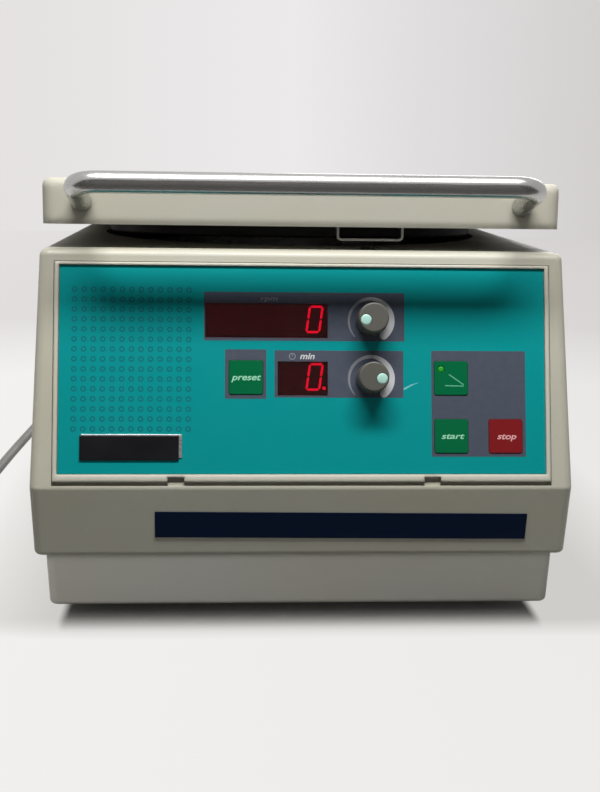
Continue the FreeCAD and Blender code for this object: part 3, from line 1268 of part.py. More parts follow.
def biarc(start, heading, end, end_heading):
    """Two arcs that run smoothly into one another, between two points with given headings."""
    chord = end - start
    both = heading + end_heading
    spread = 2 * (1 - heading.dot(end_heading))
    reach = (-chord.dot(both) + math.sqrt(chord.dot(both) ** 2 + spread * chord.dot(chord))) / spread
    meet = (start + end + (heading - end_heading) * reach) * 0.5
    first = Part.Arc(start, arc_mid(start, heading, meet), meet)
    second = Part.Arc(meet, arc_mid(end, end_heading * -1, meet), end)
    return [first.toShape(), second.toShape()]


def coil_point(turn):
    """Middle of the lead after a count of turns: spiralling in, then out again one layer up."""
    radius = COIL_R_IN + COIL_PITCH * abs(turn - COIL_TURNS)
    climb = min(max((turn - COIL_TURNS) * 2 + 0.5, 0.0), 1.0)
    rise = COIL_RISE * climb * climb * (3 - 2 * climb)
    angle = -2 * math.pi * turn
    return COIL_MIDDLE + V(radius * math.cos(angle), radius * math.sin(angle), rise)


def coil_heading(turn):
    step = 0.01
    return (coil_point(turn + step) - coil_point(turn - step)).normalize()


def coil_path():
    forward = V(0, -1, 0)
    quarters = int(8 * COIL_TURNS)
    first = coil_point(0)
    edges = [Part.LineSegment(CORD_ROUTE[-1], first).toShape()]
    for i in range(quarters):
        t0 = i / 4
        t1 = (i + 1) / 4
        h0 = forward if i == 0 else coil_heading(t0)
        h1 = forward if i + 1 == quarters else coil_heading(t1)
        edges += biarc(coil_point(t0), h0, coil_point(t1), h1)
    last = coil_point(quarters / 4)
    edges.append(Part.LineSegment(last, last + forward * COIL_TAIL).toShape())
    return Part.Wire(edges)


def least_gap(path):
    """Least gap between turns of the coil, measured on points along its middle."""
    points = path.discretize(Number=700)
    step = path.Length / (len(points) - 1)
    apart = int(math.pi * COIL_R_IN / step)
    least = min(
        (points[i] - points[j]).Length
        for i in range(len(points))
        for j in range(i + apart, len(points))
    )
    return least - CORD_D


def make_tie():
    angle = -2 * math.pi * TIE_TURN
    r0 = COIL_R_IN - CORD_R - TIE_ROOM
    r1 = COIL_R_OUT + CORD_R + TIE_ROOM
    top = COIL_TOP_Z + CORD_R + FIT
    outer = box(r0 - TIE_T, r1 + TIE_T, -TIE_W / 2, TIE_W / 2, 0, top + TIE_T)
    band = outer.cut(box(r0, r1, -TIE_W, TIE_W, TIE_T, top))
    band.rotate(V(0, 0, 0), Z_AXIS, math.degrees(angle))
    band.translate(V(COIL_MIDDLE.x, COIL_MIDDLE.y, 0))
    keep("coil_tie", band)


def make_plug(end):
    x = end.x
    z = end.z
    y = end.y - RELIEF_L
    relief = Part.makeCone(RELIEF_TIP_R, RELIEF_R, RELIEF_L + PAST, end, V(0, -1, 0))
    body = box(x - PLUG_W / 2, x + PLUG_W / 2, y - PLUG_L, y, 0, 2 * z)
    body = body.makeFillet(RELIEF_TIP_R, [edge for edge in body.Edges if edge.BoundBox.YLength > PLUG_L / 2])
    face = y - PLUG_L
    pieces = [relief]
    for side in (-1, 1):
        blade_x = x + side * PIN_GAP / 2
        pieces.append(box(blade_x - BLADE_T / 2, blade_x + BLADE_T / 2, face - PIN_L, face + PAST,
                          z + BLADE_UP - BLADE_W / 2, z + BLADE_UP + BLADE_W / 2))
    pieces.append(cylinder_y(EARTH_R, face - PIN_L, face + PAST, x, z - EARTH_DROP))
    keep("mains_plug", fuse(body, *pieces))


def make_lead():
    radii = []
    for before, at, after in zip(CORD_ROUTE, CORD_ROUTE[1:], CORD_ROUTE[2:]):
        shorter = min((at - before).Length, (after - at).Length)
        radii.append(CORD_ARC * shorter / math.tan(turn_angle(before, at, after) / 2))
    print("cord radii", [round(radius) for radius in radii])
    print("cord runs", [round((b - a).Length, 1) for a, b in zip(CORD_ROUTE, CORD_ROUTE[1:])])
    route = bent_path(CORD_ROUTE, radii)
    keep("mains_cord", tube(route, CORD_R))
    coil = coil_path()
    keep("mains_coil", tube(coil, CORD_R))
    print("least gap of the coil to itself %.2f" % least_gap(coil))
    print("lead length %.0f" % (route.Length + coil.Length))
    make_tie()
    make_plug(coil_point(2 * COIL_TURNS) + V(0, -COIL_TAIL, 0))


def make_all():
    make_casing()
    make_base()
    make_panel()
    make_displays()
    for name, at in KEYS.items():
        make_key(name, at)
    make_board()
    make_knob("speed", SPEED_KNOB, SPEED_DOT)
    make_knob("timer", TIMER_KNOB, TIMER_DOT)
    make_pots()
    make_chamber()
    make_motor()
    make_rotor()
    make_lid()
    make_handle()
    make_hinge()
    make_latch()
    make_inlet()
    make_mains_switch()
    make_supply()
    make_lead()


def save_all():
    os.makedirs("parts", exist_ok=True)
    for name, shape in nodes.items():
        placed = shape.copy()
        placed.translate(V(0, SHIFT_Y, 0))
        placed.exportStep("parts/%s.step" % name)
        if not placed.isValid():
            print("not valid:", name)
    print(len(nodes), "parts, shift along Y %.3f, top of casing %.3f" % (SHIFT_Y, TOP_Z))


make_all()
save_all()
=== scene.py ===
"""Benchtop centrifuge with its lid ajar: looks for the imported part, in metres, front towards -Y."""
import json
import math

import bmesh
import bpy
from mathutils import Matrix, Vector


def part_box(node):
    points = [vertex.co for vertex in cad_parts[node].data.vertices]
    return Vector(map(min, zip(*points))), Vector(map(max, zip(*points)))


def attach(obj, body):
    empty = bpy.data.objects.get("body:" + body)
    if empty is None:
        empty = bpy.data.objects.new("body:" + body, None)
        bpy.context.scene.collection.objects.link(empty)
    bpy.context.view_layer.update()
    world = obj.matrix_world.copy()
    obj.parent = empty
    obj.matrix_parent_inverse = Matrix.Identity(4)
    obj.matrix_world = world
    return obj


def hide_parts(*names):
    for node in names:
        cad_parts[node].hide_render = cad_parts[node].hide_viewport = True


MM = 0.001

# Camera: place in metres, turns in degrees, lens and sensor in mm
CAMERA_AT = (-0.03881, -0.7802, 0.24451)
CAMERA_YAW = -3.411
CAMERA_PITCH = 11.46
CAMERA_ROLL = 0.875
LENS = 54.545
SENSOR = 36.0

# Front panel, in mm: u across, v up the face, n out of the overlay's front
OVERLAY_MIDDLE_V = 58.5
OVERLAY_T = 0.7
SPEED_KNOB = (35.2, 84.7)
TIMER_KNOB = (35.2, 54.1)
SHAFT_HOLE_R = 3.4
SPEED_WINDOW = (-51.7, 12.2, 75.4, 93.3)
TIMER_WINDOW = (-13.8, 12.2, 45.2, 62.8)
WINDOW_ROOM = 0.15
KEY_HALF = 9.05
KEY_CORNER = 1.4
KEYS = {"preset": (-30.5, 54.5), "lid": (77.3, 54.5), "start": (77.3, 24.0), "stop": (106.1, 24.0)}
KEY_TOP_N = 0.4
MODULE_N = -4.3

# Pointer dots: places from the knobs' middles, and a dome of (radius, height) points from the pit's floor
KNOB_TOP_N = 13.9
SPEED_DOT = (-4.1, -1.3)
TIMER_DOT = (4.1, -1.1)
DOT_PIT = 1.0
DOT_DOME = [
    (2.75, 0.05), (2.8, 0.2), (2.8, 0.95), (2.65, 1.12),
    (2.2, 1.24), (1.5, 1.33), (0.7, 1.38), (0.05, 1.39),
]
DOT_STEPS = 40

# Prints
INK_T = 0.03
SPEED_FIELD = (-52.5, 52.8, 73.7, 99.3)
TIMER_FIELD = (-15.6, 52.1, 44.0, 68.7)
PRESET_FIELD = (-41.4, -19.9, 43.3, 69.1)
KEYPAD_FIELD = (66.9, 116.9, 13.2, 68.9)
FIELD_CORNER = 0.5
CORNER_STEPS = 4
CIRCLE_STEPS = 32

# Scale marks: outer radius, and widths at angles in degrees
CRESCENT_R = 12.4
CRESCENT_WIDTHS = [(-50, 4.2), (0, 3.8), (45, 2.7), (90, 1.8), (180, 1.3), (225, 0.5)]
CRESCENT_STEPS = 72
CRESCENT_END_STEPS = 12

# Ring pattern: outer and inner radius of a ring, with the points round each
GRID_COLUMNS = 13
GRID_ROWS = 15
GRID_FIRST = (-119.5, 27.4)
GRID_PITCH = (4.93, 5.19)
GRID_RING = ((1.55, 14), (0.75, 10))

# Words: middle, width, and height of the small letters
WORDS = {
    "rpm": ((-18.7, 95.7), 9.0, 1.9),
    "min": ((1.4, 65.4), 7.8, 2.35),
    "preset": ((-30.6, 54.2), 15.5, 2.4),
    "start": ((77.7, 23.7), 12.3, 2.2),
    "stop": ((106.5, 23.6), 10.2, 2.3),
}
WORD_SLANT = 0.25
WORD_BOLD = 0.02
SMALL_LETTER = 0.52

# Signs and the scratch
SIGN_STROKE = 0.55
LID_SIGN = ((76.2, 56.4), (84.0, 51.0))
BODY_SIGN = ((74.1, 50.5), (84.0, 50.3))
CLOCK_AT = (-6.3, 65.6)
CLOCK_RING = (1.75, 1.35)
CLOCK_HAND = 1.0
CLOCK_STROKE = 0.35
SCRATCH_EDGE = [
    (51.8, 48.1), (53.5, 48.6), (56.5, 50.4), (60.7, 52.3), (56.1, 51.0), (53.6, 49.8), (52.2, 48.9),
]
SCRATCH_T = 0.015

# Lit digits
DIGIT_H = 14.6
DIGIT_W = 7.9
DIGIT_STROKE = 1.2
DIGIT_GAP = 0.15
DIGIT_SLANT = 0.14
DIGIT_LIFT = 0.02
SPEED_DIGIT = (5.6, 85.5)
TIMER_DIGIT = (5.6, 55.1)
POINT_AT = (10.6, 49.1)
POINT_R = 0.95
POINT_STEPS = 16

# Bare plates: boxes on the panel, and the strip's size and place on the chin
BADGE = (-116.2, -65.1, 11.2, 24.0)
BADGE_T = 0.9
BADGE_ROUND = 0.25
BADGE_BACK = (-115.2, -63.5, 12.4, 24.7)
BADGE_BACK_T = 0.45
BADGE_BACK_ROUND = 0.1
CHIN_STRIP = (196.2, 14.8)
CHIN_STRIP_T = 0.4
CHIN_STRIP_ROUND = 0.15
CHIN_STRIP_AT = (20.4, 52.5)
CHIN_STRIP_TURN = -0.48
CHIN_FOOT = (-173.888, 35.3)
CHIN_LEAN = math.atan2(6.0, 38.1)
ROUND_STEPS = 3

# Mains lead in mm: the solid's route, lowered and drawn in beside the casing, and its coil
SHIFT_Y = 10.185
CORD_D = 6.8
CORD_ROUTE = [
    (-62, 226.6, 58), (-62, 266, 58), (-90, 300, 54), (-136, 304, 48),
    (-172, 277, 40.5), (-187.5, 234, 30.5), (-197, 175, 22.3), (-205.8, 111.6, 15.6),
    (-212.9, 50, 8.6), (-219, 0, 4.6), (-223, -46, 4.6), (-224.3, -86, 4.6),
]
CORD_ROUNDNESS = 6
CORD_FINENESS = 8
COIL_TURNS = 2.5
COIL_R_IN = 31.375
COIL_PITCH = 7.3
COIL_RISE = 7.4
COIL_CLIMB_TURNS = 0.5
COIL_STEPS = 20
COIL_TAIL = 46.0

# Lamps: place, aim, size and power, in metres and watts
KEY = ((0.0, -0.417, 0.873), (0.0, -0.155, 0.17), (0.62, 0.117), 10.4)
FILL = ((-0.45, -0.75, 0.42), (0.0, -0.17, 0.03), (0.4, 0.3), 1.45)
OVER = ((0.05, -0.04, 1.2), (0.0, -0.1, 0.0), (0.3, 0.25), 9.0)
BACK = ((0.45, 1.15, 0.75), (0.0, 0.15, 0.1), (0.9, 0.5), 4.0)
BASE = "base_tray"

# Light of the room: its brightest direction, and levels from the opposite direction to this one
ROOM_UP = (-0.25, 0.58, 0.775)
ROOM_LEVELS = ((0.0, 0.12), (0.22, 0.20), (0.42, 0.07), (0.60, 0.08), (0.75, 0.20), (1.0, 0.36))

# Pale surroundings: screen values, and places in metres; they darken towards the right, a painted falloff of the
# light
BACKDROP = (
    (-0.20, (228, 225, 224)), (0.05, (236, 234, 235)),
    (0.15, (224, 222, 223)), (0.30, (210, 207, 206)),
)
FLOOR_LEFT = (244, 242, 240)
FLOOR_SHADED_RIGHT = (231, 229, 227)
FLOOR_NEAR_X = (-0.3, 0.5)
FLOOR_FAR_LEFT = (227, 224, 223)
FLOOR_FAR_SHADED_RIGHT = (212, 209, 208)
FLOOR_FAR_X = (-0.69, 1.07)
FLOOR_FAR_FROM = (0.6, 1.05)
FLOOR_FADE = (-0.001, 0.025)
FLOOR_FADE_WAYS = (4.0, 1.0, 1.0)
FLOOR_FADE_INSET = 0.012
# Painted shadow round the base in the floor's seen colour: its tone, the distances over which it fades, its
# weights along each axis, and its shift to the right
FLOOR_SHADE = (207, 205, 202)
FLOOR_SHADE_AT = (0.03, 0.10)
FLOOR_SHADE_WAYS = (1.0, 3.0, 1.0)
FLOOR_SHADE_SHIFT = 0.02
FLOOR_PAPER = (0.82, 0.82, 0.81, 1.0)
FLOOR_BOUNCE = (0.34, 0.34, 0.33, 1.0)

# Floor disc in mm, with its top just under the feet
FLOOR_PROFILE = [(3000, -0.3), (3000, -0.05), (0.5, -0.05)]
FLOOR_STEPS = 64

# Dark card: width, and (y, z) of its edges and fold, in metres; a painted reflection, whose strip on the floor
# stands in for the shaded floor and the rest for a dark room
CARD_W = 2.4
CARD_EDGES = ((-0.21, 0.002), (-0.40, 0.002), (-1.20, 0.75))
CARD_TONE = (94, 91, 89)

# Features of the finishes, in metres
AGE_SIZE = 0.09
SPECK_SIZE = 0.0035
DUST_SIZE = 0.018
# Reach of the painted shade and dirt in corners and gaps
DUST_SHADE_REACH = 0.005
GLOSS_SIZE = 0.03
STAIN_SIZE = 0.025
RUST_SIZE = 0.012
SHEET_EDGE = 0.0001
SHEET_GLOSS_SIZE = 0.004
TRACK_PITCH = (0.0025, 0.0034)
TRACK_H = 0.00005
BOARD_GLOSS_SIZE = 0.006
WEAVE_PITCH = (0.0009, 0.0011)
WEAVE_H = 0.0002
SMEAR_SIZE = 0.012
SMEAR_STRETCH = (1, 1, 2.5)
RUB_SIZE = 0.035
FILM_GLOSS_SIZE = 0.02
PRINT_SIZE = 0.004
PRINT_GLOSS_SIZE = 0.01
PRINT_GRAIN = 0.0003
PRINT_H = 0.00001
FILM_H = 0.000012
GLOW_SIZE = 0.0015
CLOUD_SIZE = 0.4

# Wear, tints and painted shade, as shares of red, green and blue
AGED = (0.97, 0.94, 0.85)
SPECKED = (0.82, 0.79, 0.72)
# Tint of corners and gaps: dirt and painted shade
DUSTY_SHADED = (0.42, 0.40, 0.35)
STAINED = (0.6, 0.58, 0.54)
RUSTED = (0.8, 0.62, 0.5)
COPPERED = (2.6, 1.7, 1.6)
RUBBED = (1.3, 0.96, 0.95)
THIN_INK = (0.9, 0.9, 0.92)

# Span of most noise, the index of an acrylic pane, and the sockets of a colour mix
NOISE = (0.3, 0.7)
PANE_IOR = 1.49
MIX_FIRST = 6
MIX_SECOND = 7
MIX_RESULT = 2

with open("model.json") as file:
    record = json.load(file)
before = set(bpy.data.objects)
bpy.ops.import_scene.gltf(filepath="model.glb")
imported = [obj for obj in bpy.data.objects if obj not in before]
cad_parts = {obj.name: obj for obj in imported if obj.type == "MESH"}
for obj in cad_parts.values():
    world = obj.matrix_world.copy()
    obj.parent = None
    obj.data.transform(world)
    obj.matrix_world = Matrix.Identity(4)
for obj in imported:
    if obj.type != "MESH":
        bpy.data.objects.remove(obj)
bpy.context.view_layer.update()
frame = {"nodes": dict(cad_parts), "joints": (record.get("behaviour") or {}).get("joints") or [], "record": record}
nodes = frame["nodes"]


def tone(red, green, blue):
    """Linear colour from screen values of 0 to 255."""
    linear = []
    for value in (red, green, blue):
        share = value / 255
        linear.append(share / 12.92 if share <= 0.04045 else ((share + 0.055) / 1.055) ** 2.4)
    return (*linear, 1.0)


def tinted(colour, shares):
    """Colour with its red, green and blue each taken times a share."""
    return (*[value * share for value, share in zip(colour, shares)], 1.0)


def dimmed(colour, share):
    return tinted(colour, (share, share, share))


# Materials

class Finish:
    """One material and the node graph that drives it, in the object's own coordinates."""

    def __init__(self, name, **sockets):
        self.material = bpy.data.materials.new(name)
        self.material.use_nodes = True
        self.tree = self.material.node_tree
        self.shader = self.tree.nodes["Principled BSDF"]
        self.place = self.add("ShaderNodeTexCoord").outputs["Object"]
        self.normal = None
        for key, value in sockets.items():
            self.shader.inputs[key.replace("_", " ")].default_value = value

    def add(self, kind, **settings):
        node = self.tree.nodes.new(kind)
        for key, value in settings.items():
            setattr(node, key, value)
        return node

    def join(self, source, target):
        self.tree.links.new(source, target)

    def drive(self, name, source):
        self.join(source, self.shader.inputs[name])

    def along(self, axis):
        """A point's own X, Y or Z."""
        parts = self.add("ShaderNodeSeparateXYZ")
        self.join(self.place, parts.inputs[0])
        return parts.outputs[axis]

    def mapped(self, size, stretch=(1, 1, 1)):
        mapping = self.add("ShaderNodeMapping")
        mapping.inputs["Scale"].default_value = [1 / (size * along) for along in stretch]
        self.join(self.place, mapping.inputs["Vector"])
        return mapping.outputs["Vector"]

    def noise(self, size, detail=2.0, stretch=(1, 1, 1)):
        """Noise with features about this many metres across."""
        node = self.add("ShaderNodeTexNoise")
        node.inputs["Scale"].default_value = 1.0
        node.inputs["Detail"].default_value = detail
        self.join(self.mapped(size, stretch), node.inputs["Vector"])
        return node.outputs[0]

    def bands(self, size, axis, ripple=0.0):
        """Regular bands this many metres apart along one axis."""
        node = self.add("ShaderNodeTexWave", bands_direction=axis)
        node.inputs["Scale"].default_value = math.pi / 10
        node.inputs["Distortion"].default_value = ripple
        self.join(self.mapped(size), node.inputs["Vector"])
        return node.outputs[1]

    def span(self, source, between, to=(0.0, 1.0), way="LINEAR"):
        """Value that runs from one number to another as the source runs between two others."""
        node = self.add("ShaderNodeMapRange", interpolation_type=way)
        for key, value in zip(("From Min", "From Max", "To Min", "To Max"), (*between, *to)):
            node.inputs[key].default_value = value
        self.join(source, node.inputs["Value"])
        return node.outputs["Result"]

    def times(self, first, second):
        node = self.add("ShaderNodeMath", operation="MULTIPLY")
        self.join(first, node.inputs[0])
        self.join(second, node.inputs[1])
        return node.outputs[0]

    def vector(self, operation, source, other=None):
        """Vector arithmetic on an output, with a constant where the operation takes one."""
        node = self.add("ShaderNodeVectorMath", operation=operation)
        self.join(source, node.inputs[0])
        if other is not None:
            node.inputs[1].default_value = other
        return node.outputs["Value" if operation == "LENGTH" else "Vector"]

    def mix(self, share, first, second):
        """Colour between two, each a colour or another node's output."""
        node = self.add("ShaderNodeMix", data_type="RGBA")
        self.join(share, node.inputs[0])
        for value, socket in ((first, node.inputs[MIX_FIRST]), (second, node.inputs[MIX_SECOND])):
            if isinstance(value, tuple):
                socket.default_value = value
            else:
                self.join(value, socket)
        return node.outputs[MIX_RESULT]

    def crevices(self, reach):
        """Share of open space round a point: low in corners and gaps."""
        node = self.add("ShaderNodeAmbientOcclusion", samples=4)
        node.inputs["Distance"].default_value = reach
        return node.outputs["AO"]

    def soften(self, radius):
        """Small round on every edge."""
        node = self.add("ShaderNodeBevel", samples=4)
        node.inputs["Radius"].default_value = radius
        self.normal = node.outputs["Normal"]
        self.drive("Normal", self.normal)

    def bump(self, height, depth):
        node = self.add("ShaderNodeBump")
        node.inputs["Distance"].default_value = depth
        node.inputs["Strength"].default_value = 1.0
        self.join(height, node.inputs["Height"])
        if self.normal is not None:
            self.join(self.normal, node.inputs["Normal"])
        self.normal = node.outputs["Normal"]
        self.drive("Normal", self.normal)


def moulded(name, colour, rough=0.45, grain=0.0007, depth=0.00003, soil_and_shade=0.35, age=0.5, edge=0.0005,
            **sockets):
    """Moulded plastic: fine satin grain, slow yellowing, a few specks, and corners and gaps darkened by dirt and
    by painted shade.
    """
    finish = Finish(name, **sockets)
    finish.soften(edge)
    yellowing = finish.span(finish.noise(AGE_SIZE, 4), (0.35, 0.7), (0.0, age))
    aged = finish.mix(yellowing, colour, tinted(colour, AGED))
    specks = finish.span(finish.noise(SPECK_SIZE, 3), (0.66, 0.78), (0.0, 0.35))
    spotted = finish.mix(specks, aged, tinted(colour, SPECKED))
    patches = finish.span(finish.noise(DUST_SIZE, 3), NOISE, (0.6, 1.0))
    # Painted shade: corners and gaps shut in by nearby surfaces turn darker, mixed with patches of dirt
    dust_and_shade = finish.times(finish.span(finish.crevices(DUST_SHADE_REACH), (0.45, 0.95), (soil_and_shade, 0.0)), patches)
    finish.drive("Base Color", finish.mix(dust_and_shade, spotted, tinted(colour, DUSTY_SHADED)))
    gloss = finish.noise(GLOSS_SIZE, 4)
    finish.drive("Roughness", finish.span(gloss, NOISE, (rough - 0.06, rough + 0.08)))
    finish.bump(finish.noise(grain), depth)
    return finish.material


def key_plastic(name, colour):
    """Dull plastic of the keys, with a finer grain."""
    return moulded(name, colour, grain=0.0004, depth=0.00002, age=0.2, Specular_IOR_Level=0.1)


def metal(name, colour, rough, size=0.0006, stretch=(1, 1, 1), depth=0.000006, stain=0.15, edge=0.0003):
    """Bare metal with fine lines along the way that it was worked, and slow stains."""
    finish = Finish(name, Metallic=1.0)
    finish.soften(edge)
    lines = finish.noise(size, 3, stretch)
    stains = finish.span(finish.noise(STAIN_SIZE, 4), (0.4, 0.75), (0.0, stain))
    bare = finish.mix(finish.span(lines, NOISE), dimmed(colour, 0.92), colour)
    finish.drive("Base Color", finish.mix(stains, bare, tinted(colour, STAINED)))
    finish.drive("Roughness", finish.span(lines, NOISE, (rough * 0.8, rough * 1.25)))
    finish.bump(lines, depth)
    return finish.material


def laminated(name, colour, step):
    """Stacked iron sheets, seen as fine level lines."""
    finish = Finish(name, Metallic=0.6)
    sheets = finish.bands(step, "Z")
    worn = finish.span(finish.noise(RUST_SIZE, 4), (0.4, 0.7), (0.0, 0.5))
    stack = finish.mix(sheets, dimmed(colour, 0.45), colour)
    finish.drive("Base Color", finish.mix(worn, stack, tinted(colour, RUSTED)))
    finish.drive("Roughness", finish.span(finish.noise(SHEET_GLOSS_SIZE, 3), NOISE, (0.45, 0.7)))
    finish.bump(sheets, SHEET_EDGE)
    return finish.material


def circuit(name, colour):
    """Solder mask over copper tracks."""
    finish = Finish(name)
    across, up = TRACK_PITCH
    tracks = finish.times(finish.bands(across, "X", 3.0), finish.bands(up, "Z", 3.0))
    copper = finish.span(tracks, (0.3, 0.5), (0.0, 0.6))
    finish.drive("Base Color", finish.mix(copper, colour, tinted(colour, COPPERED)))
    finish.drive("Roughness", finish.span(finish.noise(BOARD_GLOSS_SIZE, 3), NOISE, (0.25, 0.4)))
    finish.bump(tracks, TRACK_H)
    return finish.material


def woven(name, colour):
    """Narrow woven strap."""
    finish = Finish(name, Sheen_Weight=0.3)
    slanting, level = WEAVE_PITCH
    weave = finish.times(finish.bands(slanting, "DIAGONAL"), finish.bands(level, "Z"))
    finish.drive("Base Color", finish.mix(weave, dimmed(colour, 0.6), dimmed(colour, 1.5)))
    finish.drive("Roughness", finish.span(weave, (0.0, 1.0), (0.8, 0.95)))
    finish.bump(weave, WEAVE_H)
    return finish.material


def clear(name, colour, rough):
    """Clear or tinted pane with faint smears."""
    finish = Finish(name, Transmission_Weight=1.0, IOR=PANE_IOR)
    smears = finish.noise(SMEAR_SIZE, 4, SMEAR_STRETCH)
    dulled = finish.span(smears, (0.4, 0.8), (0.0, 0.25))
    finish.drive("Base Color", finish.mix(dulled, colour, dimmed(colour, 0.9)))
    finish.drive("Roughness", finish.span(smears, (0.35, 0.75), (rough * 0.6, rough * 1.6)))
    return finish.material


def film(name, colour):
    """Printed plastic film with a fine satin texture and faint rubbed patches."""
    finish = Finish(name, Specular_IOR_Level=0.08)
    rubbed = finish.span(finish.noise(RUB_SIZE, 4), (0.42, 0.75), (0.0, 0.5))
    finish.drive("Base Color", finish.mix(rubbed, colour, tinted(colour, RUBBED)))
    finish.drive("Roughness", finish.span(finish.noise(FILM_GLOSS_SIZE, 4), NOISE, (0.36, 0.50)))
    finish.bump(finish.noise(PRINT_GRAIN), FILM_H)
    return finish.material


def ink(name, colour, rough=0.5, across=None):
    """Slightly uneven print; across is another colour and the places in x between which it takes over."""
    finish = Finish(name, Specular_IOR_Level=0.08)
    patches = finish.span(finish.noise(PRINT_SIZE, 4), (0.35, 0.7))
    print_colour = finish.mix(patches, colour, tinted(colour, THIN_INK))
    if across is not None:
        other, between = across
        print_colour = finish.mix(finish.span(finish.along("X"), between), print_colour, other)
    finish.drive("Base Color", print_colour)
    gloss = finish.noise(PRINT_GLOSS_SIZE, 3)
    finish.drive("Roughness", finish.span(gloss, NOISE, (rough - 0.05, rough + 0.08)))
    finish.bump(finish.noise(PRINT_GRAIN), PRINT_H)
    return finish.material


def lit(name, colour, strength):
    """Lit segment or lamp, with a little unevenness across it."""
    finish = Finish(name, Emission_Strength=strength)
    glow = finish.span(finish.noise(GLOW_SIZE), NOISE)
    finish.drive("Emission Color", finish.mix(glow, dimmed(colour, 0.85), colour))
    finish.drive("Base Color", finish.mix(glow, dimmed(colour, 0.5), dimmed(colour, 0.6)))
    return finish.material


FINISHES = {
    "casing_beige": moulded("casing_plastic", tone(180, 178, 164)),
    # The lid's plastic is a slightly lighter copy of the casing's: painted light on the lid
    "lid_beige": moulded("lit_lid_plastic", tone(186, 184, 171), edge=0.006, Specular_IOR_Level=0.2),
    # The base's plastic is a much lighter copy of the casing's: painted light on the base
    "base_grey": moulded("lit_base_plastic", tone(208, 206, 197), rough=0.5, soil_and_shade=0.2),
    "teal_film": film("teal_film", (0.002, 0.26, 0.265, 1.0)),
    "tinted_pane": clear("red_filter", (0.5, 0.02, 0.035, 1.0), rough=0.12),
    "display_black": moulded("display_face", tone(30, 16, 18), rough=0.4, grain=0.0003, age=0.2),
    "key_green": key_plastic("green_key", tone(0, 98, 58)),
    "key_red": key_plastic("red_key", tone(122, 26, 30)),
    "lamp_green": lit("green_lamp", tone(30, 150, 22), strength=0.5),
    "knob_grey": moulded("knob_plastic", tone(88, 87, 82), rough=0.38, grain=0.0005, depth=0.00002,
                         Specular_IOR_Level=0.25),
    "polished_steel": metal("handle_steel", (0.52, 0.52, 0.51, 1.0), rough=0.26, size=0.0004,
                            stretch=(60, 1, 1), stain=0.08),
    "stainless": metal("spun_steel", (0.58, 0.58, 0.57, 1.0), rough=0.3, stretch=(8, 8, 1)),
    "plated_steel": metal("plated_steel", (0.55, 0.55, 0.53, 1.0), rough=0.32, size=0.002,
                          depth=0.00001, stain=0.3),
    "aluminium": metal("cast_aluminium", (0.62, 0.62, 0.63, 1.0), rough=0.42, size=0.0012,
                       depth=0.00003, stain=0.2),
    "iron": laminated("laminated_iron", (0.16, 0.16, 0.165, 1.0), step=0.001),
    "black_rubber": moulded("black_rubber", tone(24, 24, 25), rough=0.7, grain=0.001, soil_and_shade=0.2),
    "board_green": circuit("solder_mask", (0.012, 0.11, 0.045, 1.0)),
    "black_plastic": moulded("black_plastic", tone(26, 26, 28), grain=0.0005),
    "clear_cover": clear("clear_cover", (0.92, 0.95, 0.95, 1.0), rough=0.04),
    "lead_grey": moulded("lead_sheath", tone(132, 132, 130), rough=0.5, grain=0.0012, soil_and_shade=0.3),
    "tie_fabric": woven("tie_strap", (0.03, 0.03, 0.032, 1.0)),
}
# The panel frame's plastic is a lighter copy of the casing's: painted light on the frame's lips
LIT_FRAME_PLASTIC = moulded("lit_frame_plastic", tone(196, 194, 181), edge=0.0025)
FIELD_INK = ink("field_ink", tone(76, 82, 94))
WHITE_INK = ink("white_ink", tone(205, 205, 205))
FAINT_INK = ink("faint_ink", tone(140, 142, 148))
PALE_INK = ink("pale_ink", tone(128, 130, 136), across=(tone(190, 190, 192), (0.028, 0.044)))
KEY_INK = ink("key_ink", tone(150, 215, 180))
STOP_INK = ink("stop_ink", tone(225, 165, 165))
SIGN_INK = ink("sign_ink", tone(95, 175, 140))
GRID_INK = ink("grid_ink", (0.006, 0.165, 0.185, 1.0))
SCRATCH = ink("bare_scratch", tone(120, 190, 190))
PLATE_BLACK = moulded("plate_black", tone(12, 12, 17), rough=0.35, grain=0.0004, depth=0.00001, age=0.1,
                      Specular_IOR_Level=0.3)
STRIP_NAVY = moulded("strip_navy", tone(13, 27, 52), rough=0.5, grain=0.0004, depth=0.00001, age=0.1,
                     Specular_IOR_Level=0.06)
PLATE_SILVER = metal("plate_silver", (0.72, 0.75, 0.76, 1.0), rough=0.3, size=0.0003, stretch=(20, 1, 1))
DOT_MINT = moulded("dot_mint", tone(165, 208, 196), rough=0.3, grain=0.0004, depth=0.00001)
LED_RED = lit("lit_segment", (1.0, 0.01, 0.4, 1.0), strength=1.5)

for part in frame["record"]["subparts"]:
    mesh = nodes[part["node"]].data
    mesh.materials.clear()
    mesh.materials.append(FINISHES[part["material_slot"]])
nodes["panel_frame"].data.materials[0] = LIT_FRAME_PLASTIC


# Front panel: local x across, y up the face, z out of it

def panel_place():
    """Matrix of the panel's face, from the overlay's box and the direction of a knob's axis."""
    low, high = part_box("panel_overlay")
    turn = next(joint for joint in frame["joints"] if joint["name"] == "speed_turn")
    out = Vector(turn["axis"]).normalized()
    across = Vector((1, 0, 0))
    up = out.cross(across)
    origin = (low + high) / 2 - up * OVERLAY_MIDDLE_V * MM + out * OVERLAY_T / 2 * MM
    place = Matrix((across, up, out)).transposed().to_4x4()
    place.translation = origin
    return place


PANEL = panel_place()


def placed(name, data):
    """New object in the scene."""
    thing = bpy.data.objects.new(name, data)
    bpy.context.scene.collection.objects.link(thing)
    return thing


def meshed(name, shape):
    """Mesh with a shape's faces; the shape itself is freed."""
    mesh = bpy.data.meshes.new(name)
    shape.to_mesh(mesh)
    shape.free()
    return mesh


